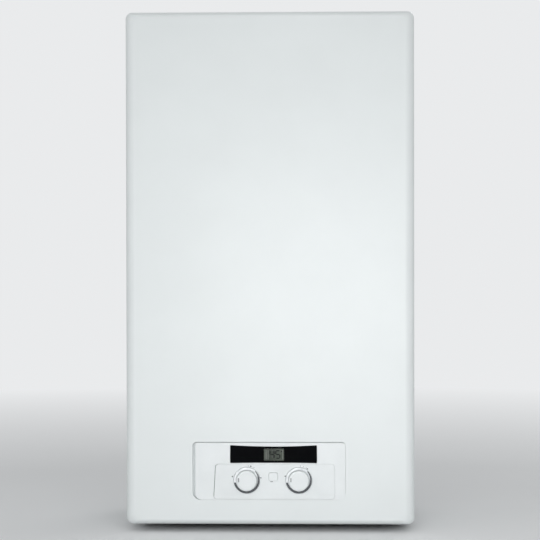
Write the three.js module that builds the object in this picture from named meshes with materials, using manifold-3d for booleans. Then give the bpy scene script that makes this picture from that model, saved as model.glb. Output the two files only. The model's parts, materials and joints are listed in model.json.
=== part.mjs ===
// A wall-hung, room-sealed, fan-flued gas combi boiler, as an assembly of separate pieces.
// Millimetres. +Z is up, +X is to the right as the front is seen, the front faces -Y, and the wall
// is the plane y = 0. Heights are written from the casing's lower edge; at the end the whole group is
// lowered so that the origin lies in the middle of the wall bracket's rear face.

import * as THREE from 'three';
import { mergeVertices } from 'three/addons/utils/BufferGeometryUtils.js';
import Module from 'manifold-3d';

// ---- Clearances -----------------------------------------------------------------------------
const SEAT = 0.3; // between a piece and what it rests on, or a shaft and its bore
const CUT_PAST = 1; // how far a cutting shape runs past the face it opens
const MESH_TOLERANCE = 0.002; // vertices closer to a straight edge than this are dropped

// ---- Casing ---------------------------------------------------------------------------------
const CASE_W = 394; // overall width
const CASE_H = 700; // height of the painted casing
const CASE_D = 280; // wall to the cover's front face
const CASE_SHEET = 1.2; // painted sheet steel
const CASE_CORNER_R = 9; // outline corners, as the front is seen
const COVER_EDGE_R = 13; // rounding of the cover's upright front edges
const COVER_BROW_R = 8; // rounding of the cover's top and bottom front edges
const COVER_WRAP = 58; // how far the cover reaches back round the sides
const CASE_SEAM = 1; // seam between the cover and the side panels
const PANEL_FLANGE = 12; // inward flange round each side panel
const LIP_DROP = 7; // downturned rear lip of the cover's top
const LIP_INSET = 9; // the lip's ends, in from the cover's sides
const HOOK_X = 120; // hooks that carry the cover, each side of the middle
const HOOK_W = 24;
const HOOK_REACH = 8;
const HOOK_CLEAR = 2; // sideways play of a hook in its notch
const COVER_SCREW_IN = 25; // captive screws under the cover, in from its sides
const COVER_SCREW_R = 2;
const COVER_SCREW_HEAD_R = 5;
const COVER_SCREW_HEAD_H = 2.5;
const COVER_SCREW_LENGTH = 11;
const COVER_SCREW_TIP = 1;
const COVER_SCREW_SLOT_W = 1.2;
const COVER_SCREW_SLOT_DEPTH = 0.8;
const COVER_SCREW_BACK = 30; // from the front face

// ---- Frame and wall bracket -------------------------------------------------------------------
const FRAME_SHEET = 1.5;
const WALL_GAP = 12; // wall to the frame's back plate
const FRAME_FOOT_Z = 5;
const FRAME_LIP = 14; // front lip of the side flanges, which carries the sealed chamber
const TOP_RECESS = 10; // top of the sealed chamber below the casing's top edge
const TOP_TRAY_H = 8; // upstand round the top plate
const ARM_H = 55; // arms that reach forward under the controls
const ARM_GAP = 18; // arm ends behind the front face
const FOOT_W = 25; // inward feet of the arms, notched for the cover's screws
const FOOT_D = 34;
const FOOT_NOTCH_CLEAR = 0.6;
const SHELF_Z = 20; // pipe shelf across the frame
const SHELF_D = 118; // its depth from the back plate
const BRACKET_W = 306;
const BRACKET_H = 40;
const BRACKET_SHEET = 2;
const BRACKET_LIP_H = 8;
const BRACKET_LIP_Y = 11; // front of the bracket's lip, from the wall
const BRACKET_HOLE_R = 4;
const BRACKET_HOLE_X = [60, 110];
const BRACKET_DROP = 80; // middle of the bracket, below the casing's top edge
const HANGER_INSET = 10; // the frame's hanger is this much shorter than the bracket at each end

// ---- Controls ---------------------------------------------------------------------------------
const FASCIA_W = 206;
const FASCIA_H = 78;
const FASCIA_Z = 34.6;
const FASCIA_TOP_R = 4;
const FASCIA_FOOT_R = 9;
const FASCIA_RECESS = 0.4; // fascia behind the cover's face
const FASCIA_WALL = 2.5;
const FASCIA_BASE = 3; // plate behind the raised panel
const FASCIA_STEP = 14.3; // raised panel proud of the base plate
const WINDOW_GAP = 0.8; // between the fascia and the cover's window
const WINDOW_RETURN = 5; // turned edge round the window
const INLAY_GAP = 0.25; // round the pieces set in the fascia
const DISPLAY_X = 5.3; // middle of the display
const DISPLAY_Z = 84.8;
const DISPLAY_W = 117.2;
const DISPLAY_H = 23.1;
const DISPLAY_R = 1.2;
const DISPLAY_DIP = 1.8; // its top edge sags in the middle
const DISPLAY_RISE = 0.5; // its lower edge rises in the middle
const LCD_X = 5.45;
const LCD_Z = 88;
const LCD_W = 27.5;
const LCD_H = 16.4;
const LCD_R = 1;
const LCD_CARRIER_EDGE = 9; // carrier round the glass
const LCD_CARRIER_T = 4;
const LCD_DEPTH = 10;
const INSERT_LEFT_TOP = -74.1; // the insert's slanted left side
const INSERT_LEFT_FOOT = -76.8;
const INSERT_RIGHT = 88.2;
const INSERT_Z = 35.6;
const INSERT_H = 47.6;
const INSERT_R = 4;
const KNOB_Z = 61;
const HEATING_KNOB_X = -31.8;
const WATER_KNOB_X = 39.4;
const KNOB_R = 14;
const KNOB_PROUD = 9; // cap in front of the cover's face
const KNOB_EDGE_R = 2.5;
const KNOB_GAP = 1; // between the cap and its ring
const RING_R = 18;
const RING_PROUD = 1.2;
const RING_FLOOR = 1.6;
const RING_DEPTH = 5;
const RING_CROWN = 0.6; // the rim's middle stands this much further out
const RING_HOLE_CLEAR = 1; // round the shaft
const SHAFT_R = 3;
const SHAFT_REACH = 6; // control shaft past the fascia's face
const POT_W = 16;
const BUTTON_X = 4.4;
const BUTTON_Z = 60.5;
const BUTTON_W = 12;
const BUTTON_H = 11;
const BUTTON_R = 2.5;
const BUTTON_PROUD = 1.6;
const BUTTON_GAP = 0.4;
const BUTTON_TRAVEL = 2;
const BUTTON_FLANGE = 1.6; // keeps the button from falling out forwards
const BUTTON_SWITCH_H = 4; // push switch on the circuit board, behind the button's stem
const BOX_W = 316;
const BOX_H = 110;
const BOX_Z = 16;
const BOX_D = 67;
const BOX_WALL = 2;
const BOX_PIVOT_R = 4; // the box tilts down on these for service
const BOX_PIVOT_RISE = 18;
const BOX_PIVOT_BACK = 24; // behind the box's open front
const BOARD_X = [-150, 60];
const BOARD_MARGIN_Z = 8;
const BOARD_T = 1.6;
const BOARD_BACK = 16; // board behind the box's open front
const STANDOFF_R = 4;
const STANDOFF_IN = 10;
const RELAY_COUNT = 6;
const RELAY_RISE = 48; // above the box's floor
const RELAY_H = 28;
const RELAY_DEPTHS = [20, 14]; // of every other relay
const RELAY_SHARE = 0.6; // of the pitch that a relay takes up
const TRANSFORMER_X = 110;
const TRANSFORMER_W = 56;
const TRANSFORMER_H = 48;
const TRANSFORMER_D = 38;
const TRANSFORMER_RISE = 22;
const COIL_SHARE_W = 0.62; // its coil, as a share of its width and of its height
const COIL_SHARE_H = 0.6;
const COIL_PROUD = 7.6;
const GLAND_X = -130;
const GLAND_FROM_BACK = 15;
const GLAND_R = 7.5;
const GLAND_NUT_R = 10.5;
const GLAND_BORE_R = 4;
const GLAND_NUT_H = 6;
const GLAND_DOME_H = 5;
const GLAND_THREAD_PAST = 4; // thread above the box's floor

// ---- Sealed chamber ---------------------------------------------------------------------------
const CHAMBER_SIDE_GAP = 3.2; // between the sealed chamber and the frame's side flanges
const CHAMBER_H = 368;
const CHAMBER_D = 162;
const CHAMBER_SHEET = 1.2;
const CHAMBER_FLANGE = 12;
const SEAL_T = 3;
const SEAL_W = 8;
const CHAMBER_COVER_RIM = 5;
const COVER_PANEL_IN = 40; // pressed panel, in from the chamber cover's edges
const COVER_PANEL_PROUD = 4;
const COVER_PANEL_R = 8.5;
const FLUE_Y = 140; // flue axis from the wall
const FLUE_R = 30; // outside of the flue spigot
const FLUE_WALL = 2;
const FLUE_TOP = 2; // spigot above the casing's top edge
const INTAKE_R = 47; // inside of the air intake round the flue
const COLLAR_WALL = 3;
const COLLAR_FLANGE = 14;
const COLLAR_FLANGE_T = 2;
const COLLAR_TOP = 6; // collar above the casing's top edge
const FAN_R = 62;
const FAN_W = 56;
const FAN_WALL = 2;
const FAN_DROP = 78; // fan axis below the chamber's top
const FAN_INLET_R = 28;
const FAN_SHAFT_R = 4;
const FAN_SHAFT_HOLE_R = 6;
const FAN_SPIGOT_DEPTH = 20;
const IMPELLER_R = 52;
const IMPELLER_W = 38;
const IMPELLER_EYE_R = 34;
const IMPELLER_HUB_R = 12;
const IMPELLER_DISC = 2;
const IMPELLER_BLADES = 9;
const BLADE_T = 1.4;
const BLADE_LEAN = 0.5; // radians
const FAN_MOTOR_R = 33;
const FAN_MOTOR_L = 40;
const FAN_MOTOR_FLANGE_R = 40;
const FAN_MOTOR_FLANGE_T = 3;
const TUBE_GAP = 3; // clear ring round a pipe where it passes through sheet
const SWITCH_R = 30;
const SWITCH_T = 27;
const SWITCH_DROP = 160; // below the chamber's top
const SWITCH_PLATE = 60;
const SWITCH_NIPPLE_L = 12;
const HOSE_R = 4;
const NIPPLE_R = 3;

// ---- Heat cell --------------------------------------------------------------------------------
const CELL_W = 224; // combustion chamber, outside
const CELL_D = 130;
const CELL_BACK = 8.5; // behind it, inside the sealed chamber
const CELL_RISE = 30; // its lower edge above the chamber's floor
const CELL_H = 87.7;
const CELL_SHEET = 1.2;
const LINING_T = 12;
const LINING_H = 47;
const LINING_DROP = 0.7; // lining below the cell's top edge
const CELL_BRACKET_X = [56, 72.8]; // brackets to the sealed chamber's back, each side
const CELL_BRACKET_IN = 18; // from the cell's lower and upper edges
const EXCHANGER_H = 74.7;
const EXCHANGER_W = 210;
const EXCHANGER_FINS = 11;
const FIN_GAP_SHARE = 0.55; // of the fin pitch that is open
const FIN_CORE_H = 24; // solid middle band that holds the water tubes
const HEADER_W = 13;
const HEADER_IN = 6; // the headers, in from the fin block's front and back
const PORT_X = 140; // the two water pipes, each side of the middle
const PORT_Y = 150; // from the wall
const PORT_R = 10;
const PORT_DROP = 20;
const HOOD_SKIRT_H = 9;
const HOOD_SLOPE_H = 23;
const HOOD_SHEET = 1.2;
const HOOD_NECK_W = 76;
const HOOD_NECK_TOP = 38; // the neck's top above the fan's axis
const BURNER_BARS = 9;
const BURNER_BAR_W = 12;
const BURNER_PITCH = 22;
const BURNER_H = 30;
const BURNER_RAIL_H = 16;
const BURNER_RAIL_T = 5;
const BURNER_INSET = 4; // inside the cell's sheet, front and back
const BURNER_RISE = 1; // above the cell's lower edge
const MANIFOLD_H = 14;
const MANIFOLD_D = 14;
const MANIFOLD_W = 196;
const MANIFOLD_RISE = 4; // above the cell's lower edge
const MANIFOLD_PORT_RISE = 16; // lower end of its inlet, above the sealed chamber's floor
const JET_R = 3;
const JET_CLEAR = 1; // between the jets and the burner's rail
const JET_WINDOW_H = 22;
const JET_WINDOW_CLEAR = 2;
const ELECTRODE_X = 55;
const ELECTRODE_RISE = 43; // above the cell's lower edge
const ELECTRODE_R = 4;
const ELECTRODE_L = 30;
const ELECTRODE_TIP_R = 1.2;
const ELECTRODE_TIP_L = 16;
const ELECTRODE_PLATE = 22;
const ELECTRODE_HOLE_CLEAR = 1;

// ---- Pipes and water groups -------------------------------------------------------------------
const PIPE_IN = 50.7; // outermost connections, in from the frame's sides
const PIPE_Y = 100; // from the wall
const PIPE_END = 10; // connections reach this far below the casing
const BIG_THREAD_R = 13.2; // G 3/4
const SMALL_THREAD_R = 10.5; // G 1/2
const BIG_BORE_R = 9.5;
const SMALL_BORE_R = 8;
const BORE_DEPTH = 62;
const GAS_BORE_DEPTH = 28;
const GAS_SEAT_H = 6;
const GAS_TAPER_H = 3;
const NUT_MARGIN = 4.5; // seat round each connection, wider than its thread
const SHELF_HOLE_GAP = 0.6;
const SEAT_H = 14; // seats under the water groups
const GROUP_H = 64;
const GROUP_D = 48;
const GROUP_INNER_IN = 25; // casting past the inner connection
const GROUP_OUTER_OUT = 16; // casting past the outer connection
const GROUP_FRONT = 122; // from the wall
const PLATES_W = 192;
const PLATES_H = 72;
const PLATES_D = 46;
const PLATE_COUNT = 9;
const PLATE_R = 12;
const PLATE_RIM = 1.5;
const PIPE_R = 9;
const GAS_PIPE_R = 8;
const VESSEL_PIPE_R = 5;
const FLOW_PIPE_CLEAR = 3; // between the flow pipe and the diverter's motor
const BEND_R = 24;
const TOWER_R = 17;
const TOWER_H = 50;
const ROD_R = 2.5;
const ROD_LENGTH = 100;
const ROD_FOOT_Z = 72;
const ROD_DISC_R = 9.5;
const ROD_DISC_T = 8;
const ROD_DISC_RISE = 16;
const ROD_BORE_R = 11;
const DIVERTER_MOTOR_R = 21;
const DIVERTER_MOTOR_H = 46;
const DIVERTER_CROWN_H = 6;
const DIVERTER_CROWN_IN = 3;
const DIVERTER_PLUG_W = 14.7;
const DIVERTER_PLUG_Z = [8, 22]; // above the motor's foot
const DIVERTER_PLUG_PROUD = 6;
const ROD_HEADROOM = 2; // above the rod, inside the motor
const PUMP_X = 112;
const PUMP_Z = 190;
const PUMP_R = 48;
const PUMP_REAR = 60; // from the wall
const PUMP_D = 40;
const PUMP_WELL_R = 37;
const PUMP_BACK_WALL = 6;
const PUMP_PORT_R = 14;
const PUMP_PORT_STEP = 3; // the seat under the pump is this much larger
const PUMP_OUT_R = 12;
const PUMP_OUT_OFF = 16; // outlet, beside the pump's axis
const PUMP_OUT_RISE = 55;
const PUMP_MOTOR_R = 44;
const PUMP_MOTOR_L = 72;
const PUMP_MOTOR_FLANGE = 6;
const PUMP_MOTOR_FLANGE_R = 46;
const PUMP_CAP_R = 16;
const PUMP_CAP_T = 4;
const PUMP_BOX_W = 48;
const PUMP_BOX_D = 50;
const PUMP_BOX_H = 18;
const PUMP_BOX_FOOT = 30.8; // its foot above the motor's axis
const PUMP_BOX_IN = 8; // in front of the motor's flange
const PUMP_WHEEL_R = 32;
const PUMP_WHEEL_W = 16;
const PUMP_BLADES = 5;
const PUMP_SHAFT_R = 4;
const PUMP_EYE_R = 16;
const PUMP_HUB_R = 7;
const PUMP_BLADE_T = 2;
const VENT_OFF = 34; // air vent, beside the pump's axis
const VENT_R = 15;
const VENT_FOOT_R = 12;
const VENT_FOOT_DROP = 36; // the foot starts this far below the vent, inside the pump's wall
const VENT_H = 44;
const VENT_NECK_H = 6;
const VENT_NECK_R = 7;
const VENT_SHOULDER = 4;
const VENT_CAP_R = 5;
const VENT_CAP_H = 9;
const VENT_CAP_CHAMFER = 2;
const VENT_CAP_SLOT_W = 1;
const VENT_CAP_SLOT_DEPTH = 1.2;
const TURBINE_R = 6.5;
const TURBINE_H = 12;
const TURBINE_BLADES = 5;
const TURBINE_HUB_R = 2.3;
const TURBINE_BLADE_T = 1;
const TURBINE_TWIST = 0.45; // radians
const TURBINE_BLADE_SHARE = 0.85; // of the rotor's height
const TURBINE_RISE = 72; // above the connection's end
const RELIEF_OUT = 17; // the valve's axis past the casting
const RELIEF_Z = 66;
const RELIEF_R = 12;
const RELIEF_BEHIND = 15.2; // the valve's body reaches this far behind the connections
const RELIEF_L = 38;
const RELIEF_ARM_R = 8;
const RELIEF_SPOUT_R = 7;
const RELIEF_SPOUT_END = 2;
const RELIEF_KNOB_R = 13;
const RELIEF_KNOB_L = 16;
const RELIEF_FLUTES = 8;
const RELIEF_FLUTE_R = 2.5;
const RELIEF_FLUTE_OUT = 1; // flute axes outside the knob's surface
const RELIEF_SKIRT = 3; // plain rim behind the flutes
const FILL_R = 8.5;
const FILL_FOOT_Z = 12;
const FILL_STEM_R = 3;
const FILL_KNOB_R = 8;
const FILL_WING_W = 28;
const FILL_WING_T = 7;
const FILL_WING_H = 13;
const FILL_WING_DROP = 2; // the wing's top below the handle's top
const VESSEL_W = 300;
const VESSEL_H = 330;
const VESSEL_D = 56;
const VESSEL_R = 60;
const VESSEL_RISE = 23; // above the chamber's floor
const VESSEL_RIM = 5;
const VESSEL_RIM_T = 3;
const VESSEL_SHEET = 1.4;
const VESSEL_DISH = [[0, 26], [0.12, 10], [0.3, 2]]; // share of the depth, outline drawn in
const VESSEL_CLEAR = 4.2; // between the vessel and the sealed chamber
const VESSEL_PORT_X = 50;
const VESSEL_PORT_R = 6;
const VESSEL_BORE_R = 3.5;
const VESSEL_PORT_L = 7;
const VESSEL_PORT_IN = 10; // overlap of the port with the vessel
const GAS_VALVE_W = 64;
const GAS_VALVE_D = 67;
const GAS_VALVE_H = 50;
const GAS_VALVE_Z = 150;
const GAS_VALVE_FRONT = 135; // from the wall
const GAS_BOSS_R = 11;
const GAS_BOSS_H = 22;
const COIL_R = 12;
const COIL_L = 25;
const COIL_X = 15;

// ---- Round shapes -----------------------------------------------------------------------------
const SIDES = 16; // of an ordinary round piece
const FINE_SIDES = 24; // of a large or plainly visible round piece
const SMALL_SIDES = 10; // of pins, screws and posts
const TUBE_SIDES = 8;
const STUD_SIDES = 12; // of small bosses and caps
const JET_SIDES = 6;
const ROOT = 1; // how far a joined piece is sunk in the piece that carries it
const BEND_STEPS = 3;
const CORNER_STEPS = 2;
const EDGE_STEPS = 5;

// ---- Levels and planes worked out from the sizes above ------------------------------------------
const HALF_W = CASE_W / 2;
const WALL_MOUNT_Z = CASE_H - BRACKET_DROP;
const FRONT_Y = -CASE_D;
const COVER_REAR_Y = FRONT_Y + COVER_WRAP;
const COVER_SCREW_X = HALF_W - COVER_SCREW_IN;
const PANEL_FRONT_Y = COVER_REAR_Y + CASE_SEAM;
const FRAME_HALF_W = HALF_W - PANEL_FLANGE - SEAT;
const PLATE_FRONT_Y = -WALL_GAP - FRAME_SHEET;
const CHAMBER_HALF_W = FRAME_HALF_W - FRAME_SHEET - CHAMBER_SIDE_GAP;
const CHAMBER_TOP = CASE_H - TOP_RECESS;
const CHAMBER_Z = CHAMBER_TOP - CHAMBER_H;
const CHAMBER_BACK_Y = PLATE_FRONT_Y - SEAT - VESSEL_D - VESSEL_CLEAR;
const CHAMBER_FRONT_Y = CHAMBER_BACK_Y - CHAMBER_D;
const TOP_PLATE_Z = CHAMBER_TOP + SEAT;
const COLLAR_Z = TOP_PLATE_Z + FRAME_SHEET + SEAT;
const FASCIA_FACE_Y = FRONT_Y + FASCIA_RECESS;
const FASCIA_BASE_Y = FASCIA_FACE_Y + FASCIA_STEP;
const BOX_FRONT_Y = FASCIA_BASE_Y + FASCIA_BASE + SEAT;
const BOX_REAR_Y = BOX_FRONT_Y + BOX_D;
const BOARD_FRONT_Y = BOX_FRONT_Y + BOARD_BACK;
const CELL_Z = CHAMBER_Z + CELL_RISE;
const CELL_TOP = CELL_Z + CELL_H;
const CELL_REAR_Y = CHAMBER_BACK_Y - CHAMBER_SHEET - CELL_BACK;
const CELL_FRONT_Y = CELL_REAR_Y - CELL_D;
const EXCHANGER_Z = CELL_TOP + SEAT;
const EXCHANGER_TOP = EXCHANGER_Z + EXCHANGER_H;
const HOOD_Z = EXCHANGER_TOP + SEAT;
const FAN_X = FLUE_R - FAN_R;
const FAN_Z = CHAMBER_TOP - FAN_DROP;
const FAN_FRONT_Y = -FLUE_Y - FAN_W / 2;
const FAN_REAR_Y = -FLUE_Y + FAN_W / 2;
const PORT_Z = EXCHANGER_Z + EXCHANGER_H / 2;
const PORT_FOOT_Z = PORT_Z - PORT_DROP;
const MANIFOLD_REAR_Y = CELL_FRONT_Y - CELL_SHEET;
const MANIFOLD_Z = CELL_Z + MANIFOLD_RISE;
const GROUP_FOOT_Z = SHELF_Z + FRAME_SHEET + SEAT;
const GROUP_Z = GROUP_FOOT_Z + SEAT_H;
const GROUP_TOP = GROUP_Z + GROUP_H;
const BIG_PIPE_X = FRAME_HALF_W - PIPE_IN; // heating flow and return
const SMALL_PIPE_X = BIG_PIPE_X / 2; // hot and cold water, half way to the gas pipe in the middle
const GROUP_INNER_X = SMALL_PIPE_X - GROUP_INNER_IN;
const GROUP_OUTER_X = BIG_PIPE_X + GROUP_OUTER_OUT;
const FILL_X = (BIG_PIPE_X + SMALL_PIPE_X) / 2;
const RELIEF_X = GROUP_OUTER_X + RELIEF_OUT;
const TOWER_TOP = GROUP_TOP + TOWER_H;
const PUMP_FRONT_Y = -PUMP_REAR - PUMP_D;
const PUMP_OUT_X = PUMP_X + PUMP_OUT_OFF;
const PUMP_OUT_Z = PUMP_Z + PUMP_OUT_RISE;
const VENT_X = PUMP_X - VENT_OFF;
const VENT_SEAT_Z = PUMP_Z + PUMP_R;

const wasm = await Module();
wasm.setup();

// ---- Making, cutting and joining closed solids ----------------------------------------------------

/** Volume inside a triangle mesh; negative if its faces point inwards. */
function signedVolume(vertices, triangles) {
  const corner = [new THREE.Vector3(), new THREE.Vector3(), new THREE.Vector3()];
  let sum = 0;
  for (let i = 0; i < triangles.length; i += 3) {
    corner.forEach((point, k) => point.fromArray(vertices, triangles[i + k] * 3));
    sum += corner[0].dot(corner[1].cross(corner[2])) / 6;
  }
  return sum;
}

/** Turns a closed three.js geometry into a solid that can be cut and joined. */
function solid(geometry) {
  const bare = new THREE.BufferGeometry();
  bare.setAttribute('position', geometry.getAttribute('position'));
  bare.setIndex(geometry.getIndex());
  const merged = mergeVertices(bare);
  const vertices = merged.getAttribute('position').array;
  const index = merged.getIndex().array;
  const triangles = [];
  for (let i = 0; i < index.length; i += 3) {
    const [a, b, c] = [index[i], index[i + 1], index[i + 2]];
    if (a !== b && b !== c && c !== a) {
      triangles.push(a, b, c);
    }
  }
  if (signedVolume(vertices, triangles) < 0) {
    triangles.reverse();
  }
  return new wasm.Manifold(new wasm.Mesh({
    numProp: 3,
    vertProperties: new Float32Array(vertices),
    triVerts: new Uint32Array(triangles),
  }));
}

function join(first, ...others) {
  return others.reduce((sum, piece) => sum.add(piece), first);
}

function cut(body, ...tools) {
  return tools.reduce((left, tool) => left.subtract(tool), body);
}

/** The finished solid as a three.js geometry. */
function toGeometry(body) {
  const mesh = body.asOriginal().simplify(MESH_TOLERANCE).getMesh();
  const geometry = new THREE.BufferGeometry();
  geometry.setAttribute('position', new THREE.BufferAttribute(mesh.vertProperties, 3));
  geometry.setIndex(new THREE.BufferAttribute(mesh.triVerts, 1));
  geometry.computeVertexNormals();
  return geometry;
}

/** Puts the two end planes of a geometry centred on 0 at exact places along axis 0, 1 or 2. */
function setEnds(geometry, axis, ends) {
  const position = geometry.getAttribute('position');
  const low = Math.min(...ends);
  const high = Math.max(...ends);
  for (let i = 0; i < position.count; i += 1) {
    position.setComponent(i, axis, position.getComponent(i, axis) < 0 ? low : high);
  }
}

/** A box between two values on each axis, given in either order. */
function block(xs, ys, zs) {
  const geometry = new THREE.BoxGeometry();
  [xs, ys, zs].forEach((ends, axis) => setEnds(geometry, axis, ends));
  return solid(geometry);
}

/** A box that reaches as far to the left of the middle as to the right. */
function slab(halfWidth, ys, zs) {
  return block([-halfWidth, halfWidth], ys, zs);
}

/** A round bar along Z, and its likes along Y and X. */
function barZ(x, y, radius, ends, sides = SIDES) {
  const geometry = new THREE.CylinderGeometry(radius, radius, 1, sides);
  geometry.rotateX(Math.PI / 2);
  setEnds(geometry, 2, ends);
  geometry.translate(x, y, 0);
  return solid(geometry);
}

function barY(x, z, radius, ends, sides = SIDES) {
  const geometry = new THREE.CylinderGeometry(radius, radius, 1, sides);
  setEnds(geometry, 1, ends);
  geometry.translate(x, 0, z);
  return solid(geometry);
}

function barX(y, z, radius, ends, sides = SIDES) {
  const geometry = new THREE.CylinderGeometry(radius, radius, 1, sides);
  geometry.rotateZ(Math.PI / 2);
  setEnds(geometry, 0, ends);
  geometry.translate(0, y, z);
  return solid(geometry);
}

/** Turns a closed profile of [radius, y] points about the Y axis. */
function turnedY(profile, sides = SIDES) {
  return solid(new THREE.LatheGeometry(profile.map(([r, y]) => new THREE.Vector2(r, y)), sides));
}

/** Turns a closed profile of [radius, z] points about the Z axis. */
function turnedZ(profile, sides = SIDES) {
  const geometry = new THREE.LatheGeometry(profile.map(([r, z]) => new THREE.Vector2(r, z)), sides);
  geometry.rotateX(Math.PI / 2);
  return solid(geometry);
}

/** A flat outline drawn in x and z, swept between two values of y. */
function prismY(shape, ends, curveSegments = CORNER_STEPS) {
  const options = { depth: 1, bevelEnabled: false, curveSegments };
  const geometry = new THREE.ExtrudeGeometry(shape, options);
  const right = new THREE.Vector3(1, 0, 0);
  const up = new THREE.Vector3(0, 0, 1);
  const forward = new THREE.Vector3(0, -1, 0);
  geometry.translate(0, 0, -0.5);
  geometry.applyMatrix4(new THREE.Matrix4().makeBasis(right, up, forward));
  setEnds(geometry, 1, ends);
  return solid(geometry);
}

/** A rectangle with its own radius at the top pair and the bottom pair of corners. */
function roundedRect([x0, x1], [z0, z1], topR, footR = topR) {
  const shape = new THREE.Shape();
  shape.moveTo(x0 + footR, z0);
  shape.lineTo(x1 - footR, z0);
  shape.absarc(x1 - footR, z0 + footR, footR, -Math.PI / 2, 0);
  shape.lineTo(x1, z1 - topR);
  shape.absarc(x1 - topR, z1 - topR, topR, 0, Math.PI / 2);
  shape.lineTo(x0 + topR, z1);
  shape.absarc(x0 + topR, z1 - topR, topR, Math.PI / 2, Math.PI);
  shape.lineTo(x0, z0 + footR);
  shape.absarc(x0 + footR, z0 + footR, footR, Math.PI, 1.5 * Math.PI);
  return shape;
}

/** One closed ring of points round a rounded rectangle that faces along Y. */
function rectRing(centerX, centerZ, halfW, halfH, radius, y) {
  const ring = [];
  for (let quarter = 0; quarter < 4; quarter += 1) {
    const turn = (quarter * Math.PI) / 2;
    const sideX = quarter === 0 || quarter === 3 ? 1 : -1;
    const sideZ = quarter < 2 ? 1 : -1;
    for (let step = 0; step <= CORNER_STEPS + 1; step += 1) {
      const angle = turn + ((Math.PI / 2) * step) / (CORNER_STEPS + 1);
      const x = centerX + sideX * (halfW - radius) + radius * Math.cos(angle);
      const z = centerZ + sideZ * (halfH - radius) + radius * Math.sin(angle);
      ring.push([x, y, z]);
    }
  }
  return ring;
}

/** Skins a row of closed rings with equal numbers of points and caps both ends. */
function loft(rings) {
  const count = rings[0].length;
  const index = [];
  for (let row = 0; row + 1 < rings.length; row += 1) {
    for (let i = 0; i < count; i += 1) {
      const here = row * count + i;
      const next = row * count + ((i + 1) % count);
      index.push(here, next, next + count);
      index.push(here, next + count, here + count);
    }
  }
  const last = (rings.length - 1) * count;
  for (let i = 1; i + 1 < count; i += 1) {
    index.push(0, i + 1, i);
    index.push(last, last + i, last + i + 1);
  }
  const geometry = new THREE.BufferGeometry();
  geometry.setAttribute('position', new THREE.Float32BufferAttribute(rings.flat(2), 3));
  geometry.setIndex(index);
  return solid(geometry);
}

/** The middle line of a bent pipe: straight runs with a round bend at each inner corner. */
class PipeRun extends THREE.Curve {
  constructor(corners, bendR) {
    super();
    const points = corners.map((corner) => new THREE.Vector3(...corner));
    const ways = points.slice(1).map((point, i) => point.clone().sub(points[i]).normalize());
    this.stops = [{ place: points[0], way: ways[0] }];
    for (let i = 1; i + 1 < points.length; i += 1) {
      this.addBend(points[i], ways[i - 1], ways[i], bendR);
    }
    this.stops.push({ place: points.at(-1), way: ways.at(-1) });
  }

  addBend(corner, before, after, bendR) {
    const angle = before.angleTo(after);
    const axis = before.clone().cross(after).normalize();
    const inward = axis.clone().cross(before);
    const start = corner.clone().addScaledVector(before, -bendR * Math.tan(angle / 2));
    const center = start.clone().addScaledVector(inward, bendR);
    for (let step = 0; step <= BEND_STEPS; step += 1) {
      const turned = (angle * step) / BEND_STEPS;
      const arm = inward.clone().multiplyScalar(-bendR).applyAxisAngle(axis, turned);
      this.stops.push({ place: center.clone().add(arm), way: before.clone().applyAxisAngle(axis, turned) });
    }
  }

  get steps() {
    return this.stops.length - 1;
  }

  between(t, key) {
    const at = Math.min(t, 1) * this.steps;
    const index = Math.min(Math.floor(at + 1e-9), this.steps - 1);
    return this.stops[index][key].clone().lerp(this.stops[index + 1][key], at - index);
  }

  getPoint(t) {
    return this.between(t, 'place');
  }

  getPointAt(t) {
    return this.between(t, 'place');
  }

  getTangent(t) {
    return this.between(t, 'way').normalize();
  }

  getTangentAt(t) {
    return this.between(t, 'way').normalize();
  }
}

/** A round pipe through its corners. */
function pipe(corners, radius, bendR = BEND_R, sides = TUBE_SIDES) {
  const run = new PipeRun(corners, bendR);
  const points = [];
  for (let i = 0; i < sides; i += 1) {
    const angle = (2 * Math.PI * i) / sides;
    points.push(new THREE.Vector2(radius * Math.cos(angle), radius * Math.sin(angle)));
  }
  const options = { extrudePath: run, steps: run.steps };
  return solid(new THREE.ExtrudeGeometry(new THREE.Shape(points), options));
}

// ---- Finishes ---------------------------------------------------------------------------------

const FINISHES = {
  whitePaint: { color: 0xeef2f1, roughness: 0.35, metalness: 0 },
  galvanised: { color: 0xb9bdbf, roughness: 0.45, metalness: 0.9 },
  aluminium: { color: 0xc9cccd, roughness: 0.4, metalness: 0.9 },
  copper: { color: 0xb87349, roughness: 0.35, metalness: 1 },
  brass: { color: 0xc2a35a, roughness: 0.4, metalness: 1 },
  steel: { color: 0x8d9093, roughness: 0.4, metalness: 1 },
  chrome: { color: 0xd5d7d8, roughness: 0.12, metalness: 1 },
  whitePlastic: { color: 0xf0f2f1, roughness: 0.4, metalness: 0 },
  greyPlastic: { color: 0x9fa4a6, roughness: 0.55, metalness: 0 },
  blackPlastic: { color: 0x1b1c1d, roughness: 0.5, metalness: 0 },
  redPlastic: { color: 0xb3261e, roughness: 0.45, metalness: 0 },
  bluePlastic: { color: 0x2b5fa8, roughness: 0.45, metalness: 0 },
  darkGlass: { color: 0x0b0c0d, roughness: 0.08, metalness: 0 },
  lcd: { color: 0x9fa79b, roughness: 0.3, metalness: 0 },
  board: { color: 0x1f6b3a, roughness: 0.6, metalness: 0 },
  rubber: { color: 0x2a2b2c, roughness: 0.8, metalness: 0 },
  ceramicFibre: { color: 0xe6dfcf, roughness: 0.95, metalness: 0 },
  ceramic: { color: 0xf3efe6, roughness: 0.3, metalness: 0 },
  redEnamel: { color: 0xb8352a, roughness: 0.4, metalness: 0 },
  blackPaint: { color: 0x26282a, roughness: 0.5, metalness: 0 },
};

const boiler = new THREE.Group();

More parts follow.
